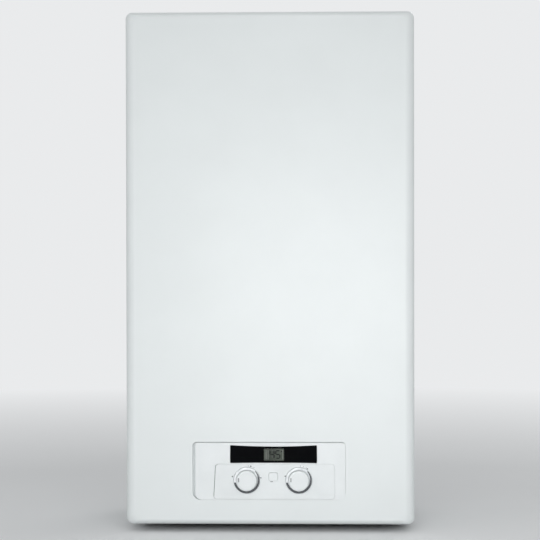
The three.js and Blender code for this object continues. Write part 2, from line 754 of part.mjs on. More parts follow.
/** Adds one named piece, with a material of its own, at a place in the assembly. */
function addPart(name, body, finish, place = [0, 0, 0]) {
  const mesh = new THREE.Mesh(toGeometry(body), new THREE.MeshStandardMaterial(FINISHES[finish]));
  mesh.name = name;
  mesh.position.set(...place);
  boiler.add(mesh);
}

// ---- Casing -----------------------------------------------------------------------------------

/** The cover's outside, or its inside when it is drawn in by the sheet's thickness. */
function coverForm(inset, rearY) {
  const edgeR = COVER_EDGE_R - inset;
  const browR = COVER_BROW_R - inset;
  const faceY = FRONT_Y + inset;
  const ring = (shrinkX, shrinkZ, y) => rectRing(
    0,
    CASE_H / 2,
    HALF_W - inset - shrinkX,
    CASE_H / 2 - inset - shrinkZ,
    CASE_CORNER_R - inset,
    y,
  );
  const rings = [ring(0, 0, rearY)];
  for (let step = 0; step <= EDGE_STEPS; step += 1) {
    const angle = (Math.PI / 2) * (step / EDGE_STEPS);
    const shrink = 1 - Math.cos(angle);
    rings.push(ring(edgeR * shrink, browR * shrink, faceY + edgeR * (1 - Math.sin(angle))));
  }
  return loft(rings);
}

function fasciaOutline(grow) {
  return roundedRect(
    [-FASCIA_W / 2 - grow, FASCIA_W / 2 + grow],
    [FASCIA_Z - grow, FASCIA_Z + FASCIA_H + grow],
    FASCIA_TOP_R + grow,
    FASCIA_FOOT_R + grow,
  );
}

function frontCover() {
  const shell = cut(
    coverForm(0, COVER_REAR_Y),
    coverForm(CASE_SHEET, COVER_REAR_Y + CUT_PAST),
  );
  const lipHalf = HALF_W - LIP_INSET;
  const lipY = [COVER_REAR_Y - CASE_SHEET, COVER_REAR_Y - 2 * CASE_SHEET];
  const lipTop = CASE_H - CASE_SHEET / 2;
  const lipZ = [CASE_H - CASE_SHEET - LIP_DROP, lipTop];
  const returnY = [FRONT_Y + CASE_SHEET / 2, FRONT_Y + CASE_SHEET + WINDOW_RETURN];
  let cover = join(
    shell,
    slab(lipHalf, lipY, lipZ),
    prismY(fasciaOutline(WINDOW_GAP + CASE_SHEET), returnY),
  );
  cover = cut(cover, prismY(
    fasciaOutline(WINDOW_GAP),
    [FRONT_Y - CUT_PAST, FRONT_Y + CASE_SHEET + WINDOW_RETURN + CUT_PAST],
  ));
  const notchHalf = HOOK_W / 2 + HOOK_CLEAR;
  const notchZ = [CASE_H - CASE_SHEET - LIP_DROP - CUT_PAST, hookTop() + SEAT];
  const screwZ = [-CUT_PAST, CASE_SHEET + CUT_PAST];
  for (const side of [-1, 1]) {
    const notchX = [side * HOOK_X - notchHalf, side * HOOK_X + notchHalf];
    const notchY = [lipY[0] + CUT_PAST, lipY[1] - CUT_PAST];
    const holeR = COVER_SCREW_R + CASE_SHEET / 2;
    cover = cut(
      cover,
      block(notchX, notchY, notchZ),
      barZ(side * COVER_SCREW_X, FRONT_Y + COVER_SCREW_BACK, holeR, screwZ, SMALL_SIDES),
    );
  }
  return cover;
}

/** Upper face of the hooks that carry the cover. */
function hookTop() {
  return TOP_PLATE_Z + TOP_TRAY_H - FRAME_SHEET;
}

function coverScrew() {
  const foot = -SEAT - COVER_SCREW_HEAD_H;
  const crown = COVER_SCREW_HEAD_R - COVER_SCREW_HEAD_H / 2;
  const profile = [
    [0, foot],
    [crown, foot],
    [COVER_SCREW_HEAD_R, foot + COVER_SCREW_HEAD_H / 2],
    [COVER_SCREW_HEAD_R, -SEAT],
    [COVER_SCREW_R, -SEAT],
    [COVER_SCREW_R, COVER_SCREW_LENGTH - COVER_SCREW_TIP],
    [COVER_SCREW_R - COVER_SCREW_TIP, COVER_SCREW_LENGTH],
    [0, COVER_SCREW_LENGTH],
  ];
  const slotHalf = COVER_SCREW_SLOT_W / 2;
  const slotZ = [foot - CUT_PAST, foot + COVER_SCREW_SLOT_DEPTH];
  const slot = slab(COVER_SCREW_HEAD_R * 2, [-slotHalf, slotHalf], slotZ);
  return cut(turnedZ(profile, SMALL_SIDES), slot);
}

function sidePanel(side) {
  const flangeX = HALF_W - PANEL_FLANGE;
  const outer = prismY(roundedRect([-HALF_W, HALF_W], [0, CASE_H], CASE_CORNER_R), [0, PANEL_FRONT_Y]);
  const innerHalf = HALF_W - CASE_SHEET;
  const inner = prismY(
    roundedRect([-innerHalf, innerHalf], [CASE_SHEET, CASE_H - CASE_SHEET], CASE_CORNER_R - CASE_SHEET),
    [-CASE_SHEET, PANEL_FRONT_Y + CASE_SHEET],
  );
  const away = block(
    [side * flangeX, -side * (HALF_W + CUT_PAST)],
    [CUT_PAST, PANEL_FRONT_Y - CUT_PAST],
    [-CUT_PAST, CASE_H + CUT_PAST],
  );
  return cut(outer, inner, away);
}

function topPlate() {
  const topZ = TOP_PLATE_Z + TOP_TRAY_H;
  const rearY = -SEAT;
  const tray = cut(
    slab(FRAME_HALF_W, [rearY, PANEL_FRONT_Y], [TOP_PLATE_Z, topZ]),
    slab(
      FRAME_HALF_W - FRAME_SHEET,
      [rearY - FRAME_SHEET, PANEL_FRONT_Y + FRAME_SHEET],
      [TOP_PLATE_Z + FRAME_SHEET, topZ + CUT_PAST],
    ),
    barZ(0, -FLUE_Y, INTAKE_R, [TOP_PLATE_Z - CUT_PAST, topZ], FINE_SIDES),
  );
  const hooks = [-1, 1].map((side) => block(
    [side * HOOK_X - HOOK_W / 2, side * HOOK_X + HOOK_W / 2],
    [PANEL_FRONT_Y + FRAME_SHEET / 2, PANEL_FRONT_Y - HOOK_REACH],
    [hookTop() - FRAME_SHEET, hookTop()],
  ));
  return join(tray, ...hooks);
}

function wallBracket() {
  const foot = WALL_MOUNT_Z - BRACKET_H / 2;
  const top = WALL_MOUNT_Z + BRACKET_H / 2;
  const half = BRACKET_W / 2;
  const lipFront = -BRACKET_LIP_Y;
  let bracket = join(
    slab(half, [0, -BRACKET_SHEET], [foot, top]),
    slab(half, [0, lipFront], [top - BRACKET_SHEET, top]),
    slab(half, [lipFront, lipFront + BRACKET_SHEET], [top - BRACKET_SHEET, top + BRACKET_LIP_H]),
  );
  for (const x of BRACKET_HOLE_X) {
    for (const side of [-1, 1]) {
      const holeY = [CUT_PAST, -BRACKET_SHEET - CUT_PAST];
      bracket = cut(bracket, barY(side * x, WALL_MOUNT_Z, BRACKET_HOLE_R, holeY, SMALL_SIDES));
    }
  }
  return bracket;
}

/** Tongue on the frame that hangs behind the bracket's lip. */
function frameHanger() {
  const half = BRACKET_W / 2 - HANGER_INSET;
  const webTop = WALL_MOUNT_Z + BRACKET_H / 2;
  const overLip = webTop + BRACKET_LIP_H + SEAT;
  const tongueFront = -BRACKET_LIP_Y + BRACKET_SHEET + SEAT;
  const tongueRear = tongueFront + FRAME_SHEET;
  return join(
    slab(half, [tongueFront, tongueRear], [webTop + SEAT, overLip + FRAME_SHEET]),
    slab(half, [-WALL_GAP - FRAME_SHEET / 2, tongueRear], [overLip, overLip + FRAME_SHEET]),
  );
}

function backFrame() {
  const sheet = FRAME_SHEET;
  const lipY = CHAMBER_BACK_Y + SEAT;
  const armY = FRONT_Y + ARM_GAP;
  const fullZ = [FRAME_FOOT_Z, CHAMBER_TOP];
  const shelfFront = PLATE_FRONT_Y - SHELF_D;
  let frame = join(
    slab(FRAME_HALF_W, [-WALL_GAP, PLATE_FRONT_Y], fullZ),
    slab(FRAME_HALF_W, [-WALL_GAP, shelfFront], [SHELF_Z, SHELF_Z + sheet]),
    frameHanger(),
  );
  for (const side of [-1, 1]) {
    const outer = side * FRAME_HALF_W;
    const flange = [outer, outer - side * sheet];
    const footY = [armY, armY + FOOT_D];
    const footZ = [FRAME_FOOT_Z, FRAME_FOOT_Z + sheet];
    const notchHalf = COVER_SCREW_R + FOOT_NOTCH_CLEAR;
    const screwX = side * COVER_SCREW_X;
    const screwY = FRONT_Y + COVER_SCREW_BACK;
    frame = join(
      frame,
      block(flange, [0, lipY], fullZ),
      block([outer, outer - side * FRAME_LIP], [lipY, lipY + sheet], [CHAMBER_Z, CHAMBER_TOP]),
      block(flange, [lipY, armY], [FRAME_FOOT_Z, FRAME_FOOT_Z + ARM_H]),
      block([outer, outer - side * FOOT_W], footY, footZ),
    );
    frame = cut(
      frame,
      block(
        [screwX - notchHalf, screwX + notchHalf],
        [armY - CUT_PAST, screwY + notchHalf],
        [FRAME_FOOT_Z - CUT_PAST, FRAME_FOOT_Z + sheet + CUT_PAST],
      ),
      barX(
        BOX_FRONT_Y + BOX_PIVOT_BACK,
        BOX_Z + BOX_PIVOT_RISE,
        BOX_PIVOT_R + SEAT,
        [outer + side * CUT_PAST, outer - side * (sheet + CUT_PAST)],
        SMALL_SIDES,
      ),
    );
  }
  const shelfHoles = [
    [-BIG_PIPE_X, BIG_THREAD_R],
    [-SMALL_PIPE_X, SMALL_THREAD_R],
    [0, BIG_THREAD_R],
    [SMALL_PIPE_X, SMALL_THREAD_R],
    [FILL_X, FILL_R],
    [BIG_PIPE_X, BIG_THREAD_R],
    [RELIEF_X, RELIEF_SPOUT_R],
  ];
  for (const [x, radius] of shelfHoles) {
    const holeZ = [SHELF_Z - CUT_PAST, SHELF_Z + sheet + CUT_PAST];
    frame = cut(frame, barZ(x, -PIPE_Y, radius + SHELF_HOLE_GAP, holeZ));
  }
  return frame;
}

addPart('wall_bracket', wallBracket(), 'galvanised');
addPart('back_frame', backFrame(), 'galvanised');
addPart('top_plate', topPlate(), 'whitePaint');
addPart('side_panel_left', sidePanel(-1), 'whitePaint');
addPart('side_panel_right', sidePanel(1), 'whitePaint');
addPart('front_cover', frontCover(), 'whitePaint');
const coverScrewY = FRONT_Y + COVER_SCREW_BACK;
addPart('cover_screw_left', coverScrew(), 'steel', [-COVER_SCREW_X, coverScrewY, 0]);
addPart('cover_screw_right', coverScrew(), 'steel', [COVER_SCREW_X, coverScrewY, 0]);

// ---- Controls -----------------------------------------------------------------------------------

/** The display's outline: its top edge sags and its lower edge rises a little in the middle. */
function displayOutline(grow) {
  const left = DISPLAY_X - DISPLAY_W / 2 - grow;
  const right = DISPLAY_X + DISPLAY_W / 2 + grow;
  const foot = DISPLAY_Z - grow;
  const top = DISPLAY_Z + DISPLAY_H + grow;
  const r = DISPLAY_R + grow;
  const shape = new THREE.Shape();
  shape.moveTo(left + r, foot);
  shape.quadraticCurveTo(DISPLAY_X, foot + 2 * DISPLAY_RISE, right - r, foot);
  shape.absarc(right - r, foot + r, r, -Math.PI / 2, 0);
  shape.lineTo(right, top - r);
  shape.absarc(right - r, top - r, r, 0, Math.PI / 2);
  shape.quadraticCurveTo(DISPLAY_X, top - 2 * DISPLAY_DIP, left + r, top);
  shape.absarc(left + r, top - r, r, Math.PI / 2, Math.PI);
  shape.lineTo(left, foot + r);
  shape.absarc(left + r, foot + r, r, Math.PI, 1.5 * Math.PI);
  return shape;
}

/** The insert's outline: a panel whose left side slants. */
function insertOutline(grow) {
  const top = INSERT_Z + INSERT_H + grow;
  const foot = INSERT_Z - grow;
  const right = INSERT_RIGHT + grow;
  const leftTop = INSERT_LEFT_TOP - grow;
  const leftFoot = INSERT_LEFT_FOOT - grow;
  const r = INSERT_R + grow;
  const shape = new THREE.Shape();
  shape.moveTo(leftFoot + r, foot);
  shape.lineTo(right - r, foot);
  shape.absarc(right - r, foot + r, r, -Math.PI / 2, 0);
  shape.lineTo(right, top - r);
  shape.absarc(right - r, top - r, r, 0, Math.PI / 2);
  shape.lineTo(leftTop + r, top);
  shape.quadraticCurveTo(leftTop, top, leftTop, top - r);
  shape.lineTo(leftFoot, foot + r);
  shape.quadraticCurveTo(leftFoot, foot, leftFoot + r, foot);
  return shape;
}

function lcdOutline(grow) {
  const half = LCD_W / 2 + grow;
  return roundedRect([LCD_X - half, LCD_X + half], [LCD_Z - grow, LCD_Z + LCD_H + grow], LCD_R + grow);
}

function buttonOutline(grow) {
  const half = BUTTON_W / 2 + grow;
  return roundedRect([-half, half], [-BUTTON_H / 2 - grow, BUTTON_H / 2 + grow], BUTTON_R + grow);
}

/** The fascia's wall, and the inlays set in it, lie between these two planes. */
const FASCIA_WALL_Y = [FASCIA_FACE_Y, FASCIA_FACE_Y + FASCIA_WALL];
const FASCIA_CUT_Y = [FASCIA_FACE_Y - CUT_PAST, FASCIA_FACE_Y + FASCIA_WALL + CUT_PAST];

function controlFascia() {
  const baseHalf = BOX_W / 2 + BOX_WALL;
  const baseZ = [BOX_Z - BOX_WALL, BOX_Z + BOX_H + BOX_WALL];
  const baseRearY = FASCIA_BASE_Y + FASCIA_BASE;
  const body = join(
    slab(baseHalf, [FASCIA_BASE_Y, baseRearY], baseZ),
    prismY(fasciaOutline(0), [FASCIA_FACE_Y, FASCIA_BASE_Y + FASCIA_BASE / 2]),
  );
  return cut(
    body,
    prismY(fasciaOutline(-FASCIA_WALL), [FASCIA_WALL_Y[1], baseRearY + CUT_PAST]),
    prismY(displayOutline(INLAY_GAP), FASCIA_CUT_Y),
    prismY(insertOutline(INLAY_GAP), FASCIA_CUT_Y),
  );
}

function controlInsert() {
  const plate = prismY(insertOutline(0), FASCIA_WALL_Y);
  const buttonHole = prismY(buttonOutline(BUTTON_GAP), FASCIA_CUT_Y);
  return cut(
    plate,
    barY(HEATING_KNOB_X, KNOB_Z, RING_R + INLAY_GAP, FASCIA_CUT_Y, FINE_SIDES),
    barY(WATER_KNOB_X, KNOB_Z, RING_R + INLAY_GAP, FASCIA_CUT_Y, FINE_SIDES),
    buttonHole.translate([BUTTON_X, 0, BUTTON_Z + BUTTON_H / 2]),
  );
}

function displayWindow() {
  return cut(prismY(displayOutline(0), FASCIA_WALL_Y), prismY(lcdOutline(INLAY_GAP), FASCIA_CUT_Y));
}

function lcdModule() {
  const rearY = FASCIA_FACE_Y + LCD_DEPTH;
  const edge = LCD_CARRIER_EDGE;
  const half = LCD_W / 2 + edge;
  return join(
    prismY(lcdOutline(0), [FASCIA_FACE_Y + SEAT, rearY]),
    block(
      [LCD_X - half, LCD_X + half],
      [rearY - LCD_CARRIER_T, rearY],
      [LCD_Z - edge / 2, LCD_Z + LCD_H + edge / 4],
    ),
  );
}

/** Cup round a knob: a bright rim with a floor that the knob's shaft passes through. */
function knobRing() {
  const inner = KNOB_R + KNOB_GAP;
  const holeR = SHAFT_R + RING_HOLE_CLEAR;
  const rimY = -RING_DEPTH - RING_PROUD;
  const profile = [
    [holeR, 0],
    [RING_R, 0],
    [RING_R, rimY],
    [(RING_R + inner) / 2, rimY - RING_CROWN],
    [inner, rimY],
    [inner, -RING_FLOOR],
    [holeR, -RING_FLOOR],
    [holeR, 0],
  ];
  return turnedY(profile, FINE_SIDES);
}

/** Knob cap, turned about its own axis, with its rear face at y = 0 and a blind bore for the shaft. */
function knobCap(length) {
  const round = KNOB_EDGE_R;
  const profile = [[SHAFT_R + SEAT, 0], [KNOB_R, 0]];
  for (let step = 0; step <= BEND_STEPS; step += 1) {
    const angle = (Math.PI / 2) * (step / BEND_STEPS);
    profile.push([KNOB_R - round + round * Math.cos(angle), -length + round - round * Math.sin(angle)]);
  }
  const boreEnd = -length + knobBoreWall();
  profile.push([0, -length], [0, boreEnd], [SHAFT_R + SEAT, boreEnd], [SHAFT_R + SEAT, 0]);
  return turnedY(profile, FINE_SIDES);
}

/** Plastic left in front of the control shaft, inside the cap. */
function knobBoreWall() {
  return KNOB_PROUD + FASCIA_RECESS - SHAFT_REACH - SEAT;
}

function potentiometer() {
  const bodyY = [BOARD_FRONT_Y - SEAT, BOX_FRONT_Y];
  const half = POT_W / 2;
  return join(
    block([-half, half], bodyY, [-half, half]),
    barY(0, 0, SHAFT_R, [BOX_FRONT_Y + ROOT, FASCIA_FACE_Y - SHAFT_REACH], SMALL_SIDES),
  );
}

/** The reset button: cap, retaining flange and a stem towards its switch. */
function resetButton() {
  const capY = [FASCIA_FACE_Y - BUTTON_PROUD, FASCIA_WALL_Y[1] + BUTTON_TRAVEL];
  const flangeY = [FASCIA_WALL_Y[1] + 2 * SEAT, FASCIA_WALL_Y[1] + 2 * SEAT + BUTTON_FLANGE];
  const stemHalf = BUTTON_H / 4;
  const switchFrontY = BOARD_FRONT_Y - BUTTON_SWITCH_H;
  return join(
    prismY(buttonOutline(0), capY),
    prismY(buttonOutline(BUTTON_FLANGE), flangeY),
    slab(stemHalf, [flangeY[0], switchFrontY - BUTTON_TRAVEL - SEAT], [-stemHalf, stemHalf]),
  );
}

function controlBox() {
  const half = BOX_W / 2;
  const boxZ = [BOX_Z, BOX_Z + BOX_H];
  let box = cut(
    slab(half, [BOX_FRONT_Y, BOX_REAR_Y], boxZ),
    slab(
      half - BOX_WALL,
      [BOX_FRONT_Y - CUT_PAST, BOX_REAR_Y - BOX_WALL],
      [BOX_Z + BOX_WALL, BOX_Z + BOX_H - BOX_WALL],
    ),
  );
  for (const side of [-1, 1]) {
    const pivot = barX(
      BOX_FRONT_Y + BOX_PIVOT_BACK,
      BOX_Z + BOX_PIVOT_RISE,
      BOX_PIVOT_R,
      [side * (half - BOX_WALL / 2), side * (FRAME_HALF_W - SEAT)],
      SMALL_SIDES,
    );
    box = join(box, pivot);
  }
  const boardRearY = BOARD_FRONT_Y + BOARD_T;
  for (const x of [BOARD_X[0] + STANDOFF_IN, BOARD_X[1] - STANDOFF_IN]) {
    for (const z of [BOX_Z + BOARD_MARGIN_Z + STANDOFF_IN, BOX_Z + BOX_H - BOARD_MARGIN_Z - STANDOFF_IN]) {
      const postY = [boardRearY + SEAT, BOX_REAR_Y - BOX_WALL / 2];
      box = join(box, barY(x, z, STANDOFF_R, postY, SMALL_SIDES));
    }
  }
  const glandY = BOX_REAR_Y - GLAND_FROM_BACK;
  return cut(box, barZ(GLAND_X, glandY, GLAND_R + SEAT, [BOX_Z - CUT_PAST, BOX_Z + BOX_WALL + CUT_PAST]));
}

function circuitBoard() {
  const rearY = BOARD_FRONT_Y + BOARD_T;
  const lowZ = BOX_Z + BOARD_MARGIN_Z;
  const highZ = BOX_Z + BOX_H - BOARD_MARGIN_Z;
  const buttonMidZ = BUTTON_Z + BUTTON_H / 2;
  const switchHalf = BUTTON_H / 3;
  let board = join(
    block(BOARD_X, [BOARD_FRONT_Y, rearY], [lowZ, highZ]),
    block(
      [BUTTON_X - switchHalf, BUTTON_X + switchHalf],
      [BOARD_FRONT_Y + BOARD_T / 2, BOARD_FRONT_Y - BUTTON_SWITCH_H],
      [buttonMidZ - switchHalf, buttonMidZ + switchHalf],
    ),
  );
  // Relays and terminal blocks stand in a row behind the board.
  const pitch = (BOARD_X[1] - BOARD_X[0] - 4 * STANDOFF_IN) / RELAY_COUNT;
  const half = (pitch * RELAY_SHARE) / 2;
  const relayZ = [BOX_Z + RELAY_RISE, BOX_Z + RELAY_RISE + RELAY_H];
  for (let i = 0; i < RELAY_COUNT; i += 1) {
    const x = BOARD_X[0] + 2 * STANDOFF_IN + pitch * (i + 0.5);
    const relayY = [BOARD_FRONT_Y + BOARD_T / 2, rearY + RELAY_DEPTHS[i % RELAY_DEPTHS.length]];
    board = join(board, block([x - half, x + half], relayY, relayZ));
  }
  return board;
}

function transformer() {
  const rearY = BOX_REAR_Y - BOX_WALL - SEAT;
  const frontY = rearY - TRANSFORMER_D;
  const middleZ = BOX_Z + TRANSFORMER_RISE + TRANSFORMER_H / 2;
  const centred = (shareW, shareH, ys) => block(
    [TRANSFORMER_X - (TRANSFORMER_W / 2) * shareW, TRANSFORMER_X + (TRANSFORMER_W / 2) * shareW],
    ys,
    [middleZ - (TRANSFORMER_H / 2) * shareH, middleZ + (TRANSFORMER_H / 2) * shareH],
  );
  return join(
    centred(1, 1, [rearY, frontY]),
    centred(COIL_SHARE_W, COIL_SHARE_H, [frontY + ROOT, frontY - COIL_PROUD]),
  );
}

/** Cable gland in the box's floor, turned about its own axis, with the box's underside at z = 0. */
function cableGland() {
  const neckTop = BOX_WALL + GLAND_THREAD_PAST;
  const nutFoot = -SEAT - GLAND_NUT_H;
  const domeFoot = nutFoot - GLAND_DOME_H;
  const profile = [
    [GLAND_BORE_R, domeFoot],
    [GLAND_R, domeFoot],
    [GLAND_NUT_R, nutFoot],
    [GLAND_NUT_R, -SEAT],
    [GLAND_R, -SEAT],
    [GLAND_R, neckTop],
    [GLAND_BORE_R, neckTop],
    [GLAND_BORE_R, domeFoot],
  ];
  return turnedZ(profile);
}

const ringRearY = FASCIA_FACE_Y + RING_DEPTH;
const knobRearY = ringRearY - RING_FLOOR - SEAT;
const knobLength = knobRearY - (FRONT_Y - KNOB_PROUD);
const glandPlace = [GLAND_X, BOX_REAR_Y - GLAND_FROM_BACK, BOX_Z];
addPart('control_box', controlBox(), 'greyPlastic');
addPart('control_fascia', controlFascia(), 'whitePlastic');
addPart('control_insert', controlInsert(), 'whitePlastic');
addPart('display_window', displayWindow(), 'darkGlass');
addPart('lcd_module', lcdModule(), 'lcd');
addPart('heating_knob_ring', knobRing(), 'chrome', [HEATING_KNOB_X, ringRearY, KNOB_Z]);
addPart('hot_water_knob_ring', knobRing(), 'chrome', [WATER_KNOB_X, ringRearY, KNOB_Z]);
addPart('heating_knob', knobCap(knobLength), 'whitePlastic', [HEATING_KNOB_X, knobRearY, KNOB_Z]);
addPart('hot_water_knob', knobCap(knobLength), 'whitePlastic', [WATER_KNOB_X, knobRearY, KNOB_Z]);
addPart('heating_potentiometer', potentiometer(), 'blackPlastic', [HEATING_KNOB_X, 0, KNOB_Z]);
addPart('hot_water_potentiometer', potentiometer(), 'blackPlastic', [WATER_KNOB_X, 0, KNOB_Z]);
addPart('reset_button', resetButton(), 'whitePlastic', [BUTTON_X, 0, BUTTON_Z + BUTTON_H / 2]);
addPart('circuit_board', circuitBoard(), 'board');
addPart('transformer', transformer(), 'steel');
addPart('cable_gland', cableGland(), 'blackPlastic', glandPlace);

// ---- Sealed chamber -------------------------------------------------------------------------------

/** A hollow sheet box: its outside less its inside. */
function sheetBox(halfW, [rearY, frontY], [lowZ, highZ], sheet) {
  return cut(
    slab(halfW, [rearY, frontY], [lowZ, highZ]),
    slab(halfW - sheet, [rearY - sheet, frontY + sheet], [lowZ + sheet, highZ - sheet]),
  );
}

function chamberHousing() {
  const half = CHAMBER_HALF_W;
  const openHalf = half - CHAMBER_FLANGE;
  const floorCut = [CHAMBER_Z - CUT_PAST, CHAMBER_Z + CHAMBER_SHEET + CUT_PAST];
  const roofCut = [CHAMBER_TOP - CHAMBER_SHEET - CUT_PAST, CHAMBER_TOP + CUT_PAST];
  const shell = sheetBox(half, [CHAMBER_BACK_Y, CHAMBER_FRONT_Y], [CHAMBER_Z, CHAMBER_TOP], CHAMBER_SHEET);
  return cut(
    shell,
    slab(
      openHalf,
      [CHAMBER_FRONT_Y - CUT_PAST, CHAMBER_FRONT_Y + CHAMBER_SHEET + CUT_PAST],
      [CHAMBER_Z + CHAMBER_FLANGE, CHAMBER_TOP - CHAMBER_FLANGE],
    ),
    barZ(0, -FLUE_Y, INTAKE_R, roofCut, FINE_SIDES),
    barZ(-PORT_X, -PORT_Y, PIPE_R + TUBE_GAP, floorCut),
    barZ(PORT_X, -PORT_Y, PIPE_R + TUBE_GAP, floorCut),
    barZ(0, manifoldMidY(), GAS_PIPE_R + SEAT * 2, floorCut),
  );
}

function chamberSeal() {
  const outer = CHAMBER_HALF_W - (CHAMBER_FLANGE - SEAL_W) / 2;
  const edge = (CHAMBER_FLANGE - SEAL_W) / 2;
  const sealY = [CHAMBER_FRONT_Y - SEAT, CHAMBER_FRONT_Y - SEAT - SEAL_T];
  return cut(
    slab(outer, sealY, [CHAMBER_Z + edge, CHAMBER_TOP - edge]),
    slab(
      outer - SEAL_W,
      [sealY[0] + CUT_PAST, sealY[1] - CUT_PAST],
      [CHAMBER_Z + edge + SEAL_W, CHAMBER_TOP - edge - SEAL_W],
    ),
  );
}

/** Lid of the sealed chamber: a tray with a pressed panel in its middle. */
function chamberCover() {
  const half = CHAMBER_HALF_W;
  const rearY = CHAMBER_FRONT_Y - 2 * SEAT - SEAL_T;
  const faceY = rearY - CHAMBER_SHEET;
  const panelHalf = half - COVER_PANEL_IN;
  const panelZ = [CHAMBER_Z + COVER_PANEL_IN, CHAMBER_TOP - COVER_PANEL_IN];
  const sheet = CHAMBER_SHEET;
  const rim = cut(
    slab(half, [faceY + sheet / 2, faceY - CHAMBER_COVER_RIM], [CHAMBER_Z, CHAMBER_TOP]),
    slab(
      half - sheet,
      [faceY + sheet, faceY - CHAMBER_COVER_RIM - CUT_PAST],
      [CHAMBER_Z + sheet, CHAMBER_TOP - sheet],
    ),
  );
  const tray = join(
    slab(half, [rearY, faceY], [CHAMBER_Z, CHAMBER_TOP]),
    rim,
    prismY(
      roundedRect([-panelHalf, panelHalf], panelZ, COVER_PANEL_R),
      [rearY - sheet / 2, faceY - COVER_PANEL_PROUD],
    ),
  );
  const inner = panelHalf - sheet;
  return cut(tray, prismY(
    roundedRect([-inner, inner], [panelZ[0] + sheet, panelZ[1] - sheet], COVER_PANEL_R - sheet),
    [rearY + CUT_PAST, faceY - COVER_PANEL_PROUD + sheet],
  ));
}

function flueCollar() {
  const outer = INTAKE_R + COLLAR_WALL;
  const top = CASE_H + COLLAR_TOP;
  const profile = [
    [INTAKE_R, COLLAR_Z],
    [outer + COLLAR_FLANGE, COLLAR_Z],
    [outer + COLLAR_FLANGE, COLLAR_Z + COLLAR_FLANGE_T],
    [outer, COLLAR_Z + COLLAR_FLANGE_T],
    [outer, top],
    [INTAKE_R, top],
    [INTAKE_R, COLLAR_Z],
  ];
  return turnedZ(profile, FINE_SIDES);
}

function fanHousing() {
  const duct = (r, ys, top) => join(
    barY(FAN_X, FAN_Z, FAN_R - (FLUE_R - r), ys, FINE_SIDES),
    slab(r, ys, [FAN_Z, top]),
  );
  const ductTop = CHAMBER_TOP - FAN_SPIGOT_DEPTH;
  const top = CASE_H + FLUE_TOP;
  const innerR = FLUE_R - FLUE_WALL;
  const hoseZ = FAN_Z;
  const outer = join(
    duct(FLUE_R, [FAN_REAR_Y, FAN_FRONT_Y], ductTop),
    barZ(0, -FLUE_Y, FLUE_R, [ductTop - FLUE_WALL, top], FINE_SIDES),
    barX(-FLUE_Y, hoseZ, NIPPLE_R, [FAN_X - FAN_R + FAN_WALL / 2, FAN_X - FAN_R - SWITCH_NIPPLE_L]),
  );
  return cut(
    outer,
    duct(innerR, [FAN_REAR_Y - FAN_WALL, FAN_FRONT_Y + FAN_WALL], ductTop - FLUE_WALL),
    barZ(0, -FLUE_Y, innerR - FLUE_WALL, [ductTop - 2 * FLUE_WALL, top + CUT_PAST], FINE_SIDES),
    barY(FAN_X, FAN_Z, FAN_INLET_R, [FAN_REAR_Y + CUT_PAST, FAN_REAR_Y - FAN_WALL - CUT_PAST]),
    barY(FAN_X, FAN_Z, FAN_SHAFT_HOLE_R, [FAN_FRONT_Y - CUT_PAST, FAN_FRONT_Y + FAN_WALL + CUT_PAST]),
  );
}

/** A bladed wheel about the Y axis: rear disc, hub, leaning blades and a front ring, with a bore. */
function bladedWheel({ radius, width, eyeR, hubR, boreR, disc, blades, bladeT, lean, sides }) {
  const bladeIn = hubR + (eyeR - hubR) / 2;
  const bladeL = radius - bladeIn - ROOT;
  let wheel = join(
    barY(0, 0, radius, [-width / 2, -width / 2 + disc], sides),
    barY(0, 0, hubR, [-width / 2, width / 4], SMALL_SIDES),
  );
  for (let i = 0; i < blades; i += 1) {
    const blade = new THREE.BoxGeometry(bladeL, width - disc, bladeT);
    blade.translate(-bladeL / 2, 0, 0);
    blade.rotateY(lean);
    blade.translate(radius - ROOT, 0, 0);
    blade.rotateY((2 * Math.PI * i) / blades);
    wheel = join(wheel, solid(blade));
  }
  const ring = cut(
    barY(0, 0, radius, [width / 2 - disc, width / 2], sides),
    barY(0, 0, eyeR, [width / 2 - disc - CUT_PAST, width / 2 + CUT_PAST], sides),
  );
  const boreY = [-width / 2 - CUT_PAST, width / 2 + CUT_PAST];
  return cut(join(wheel, ring), barY(0, 0, boreR, boreY, SMALL_SIDES));
}

function fanMotor() {
  const flangeRear = FAN_FRONT_Y - SEAT;
  const flangeFront = flangeRear - FAN_MOTOR_FLANGE_T;
  return join(
    barY(0, 0, FAN_MOTOR_FLANGE_R, [flangeRear, flangeFront], FINE_SIDES),
    barY(0, 0, FAN_MOTOR_R, [flangeRear, flangeFront - FAN_MOTOR_L], FINE_SIDES),
    barY(0, 0, FAN_MOTOR_R / 3, [flangeRear, flangeFront - FAN_MOTOR_L - FAN_MOTOR_FLANGE_T]),
    barY(0, 0, FAN_SHAFT_R, [flangeRear - ROOT, -FLUE_Y + IMPELLER_W / 3]),
  );
}

/** Corners of a tapering hood in plan: its skirt over the fins, then its neck behind the fan. */
function hoodRing(halfW, centerX, frontY, rearY, z) {
  return [
    [centerX - halfW, frontY, z],
    [centerX + halfW, frontY, z],
    [centerX + halfW, rearY, z],
    [centerX - halfW, rearY, z],
  ];
}

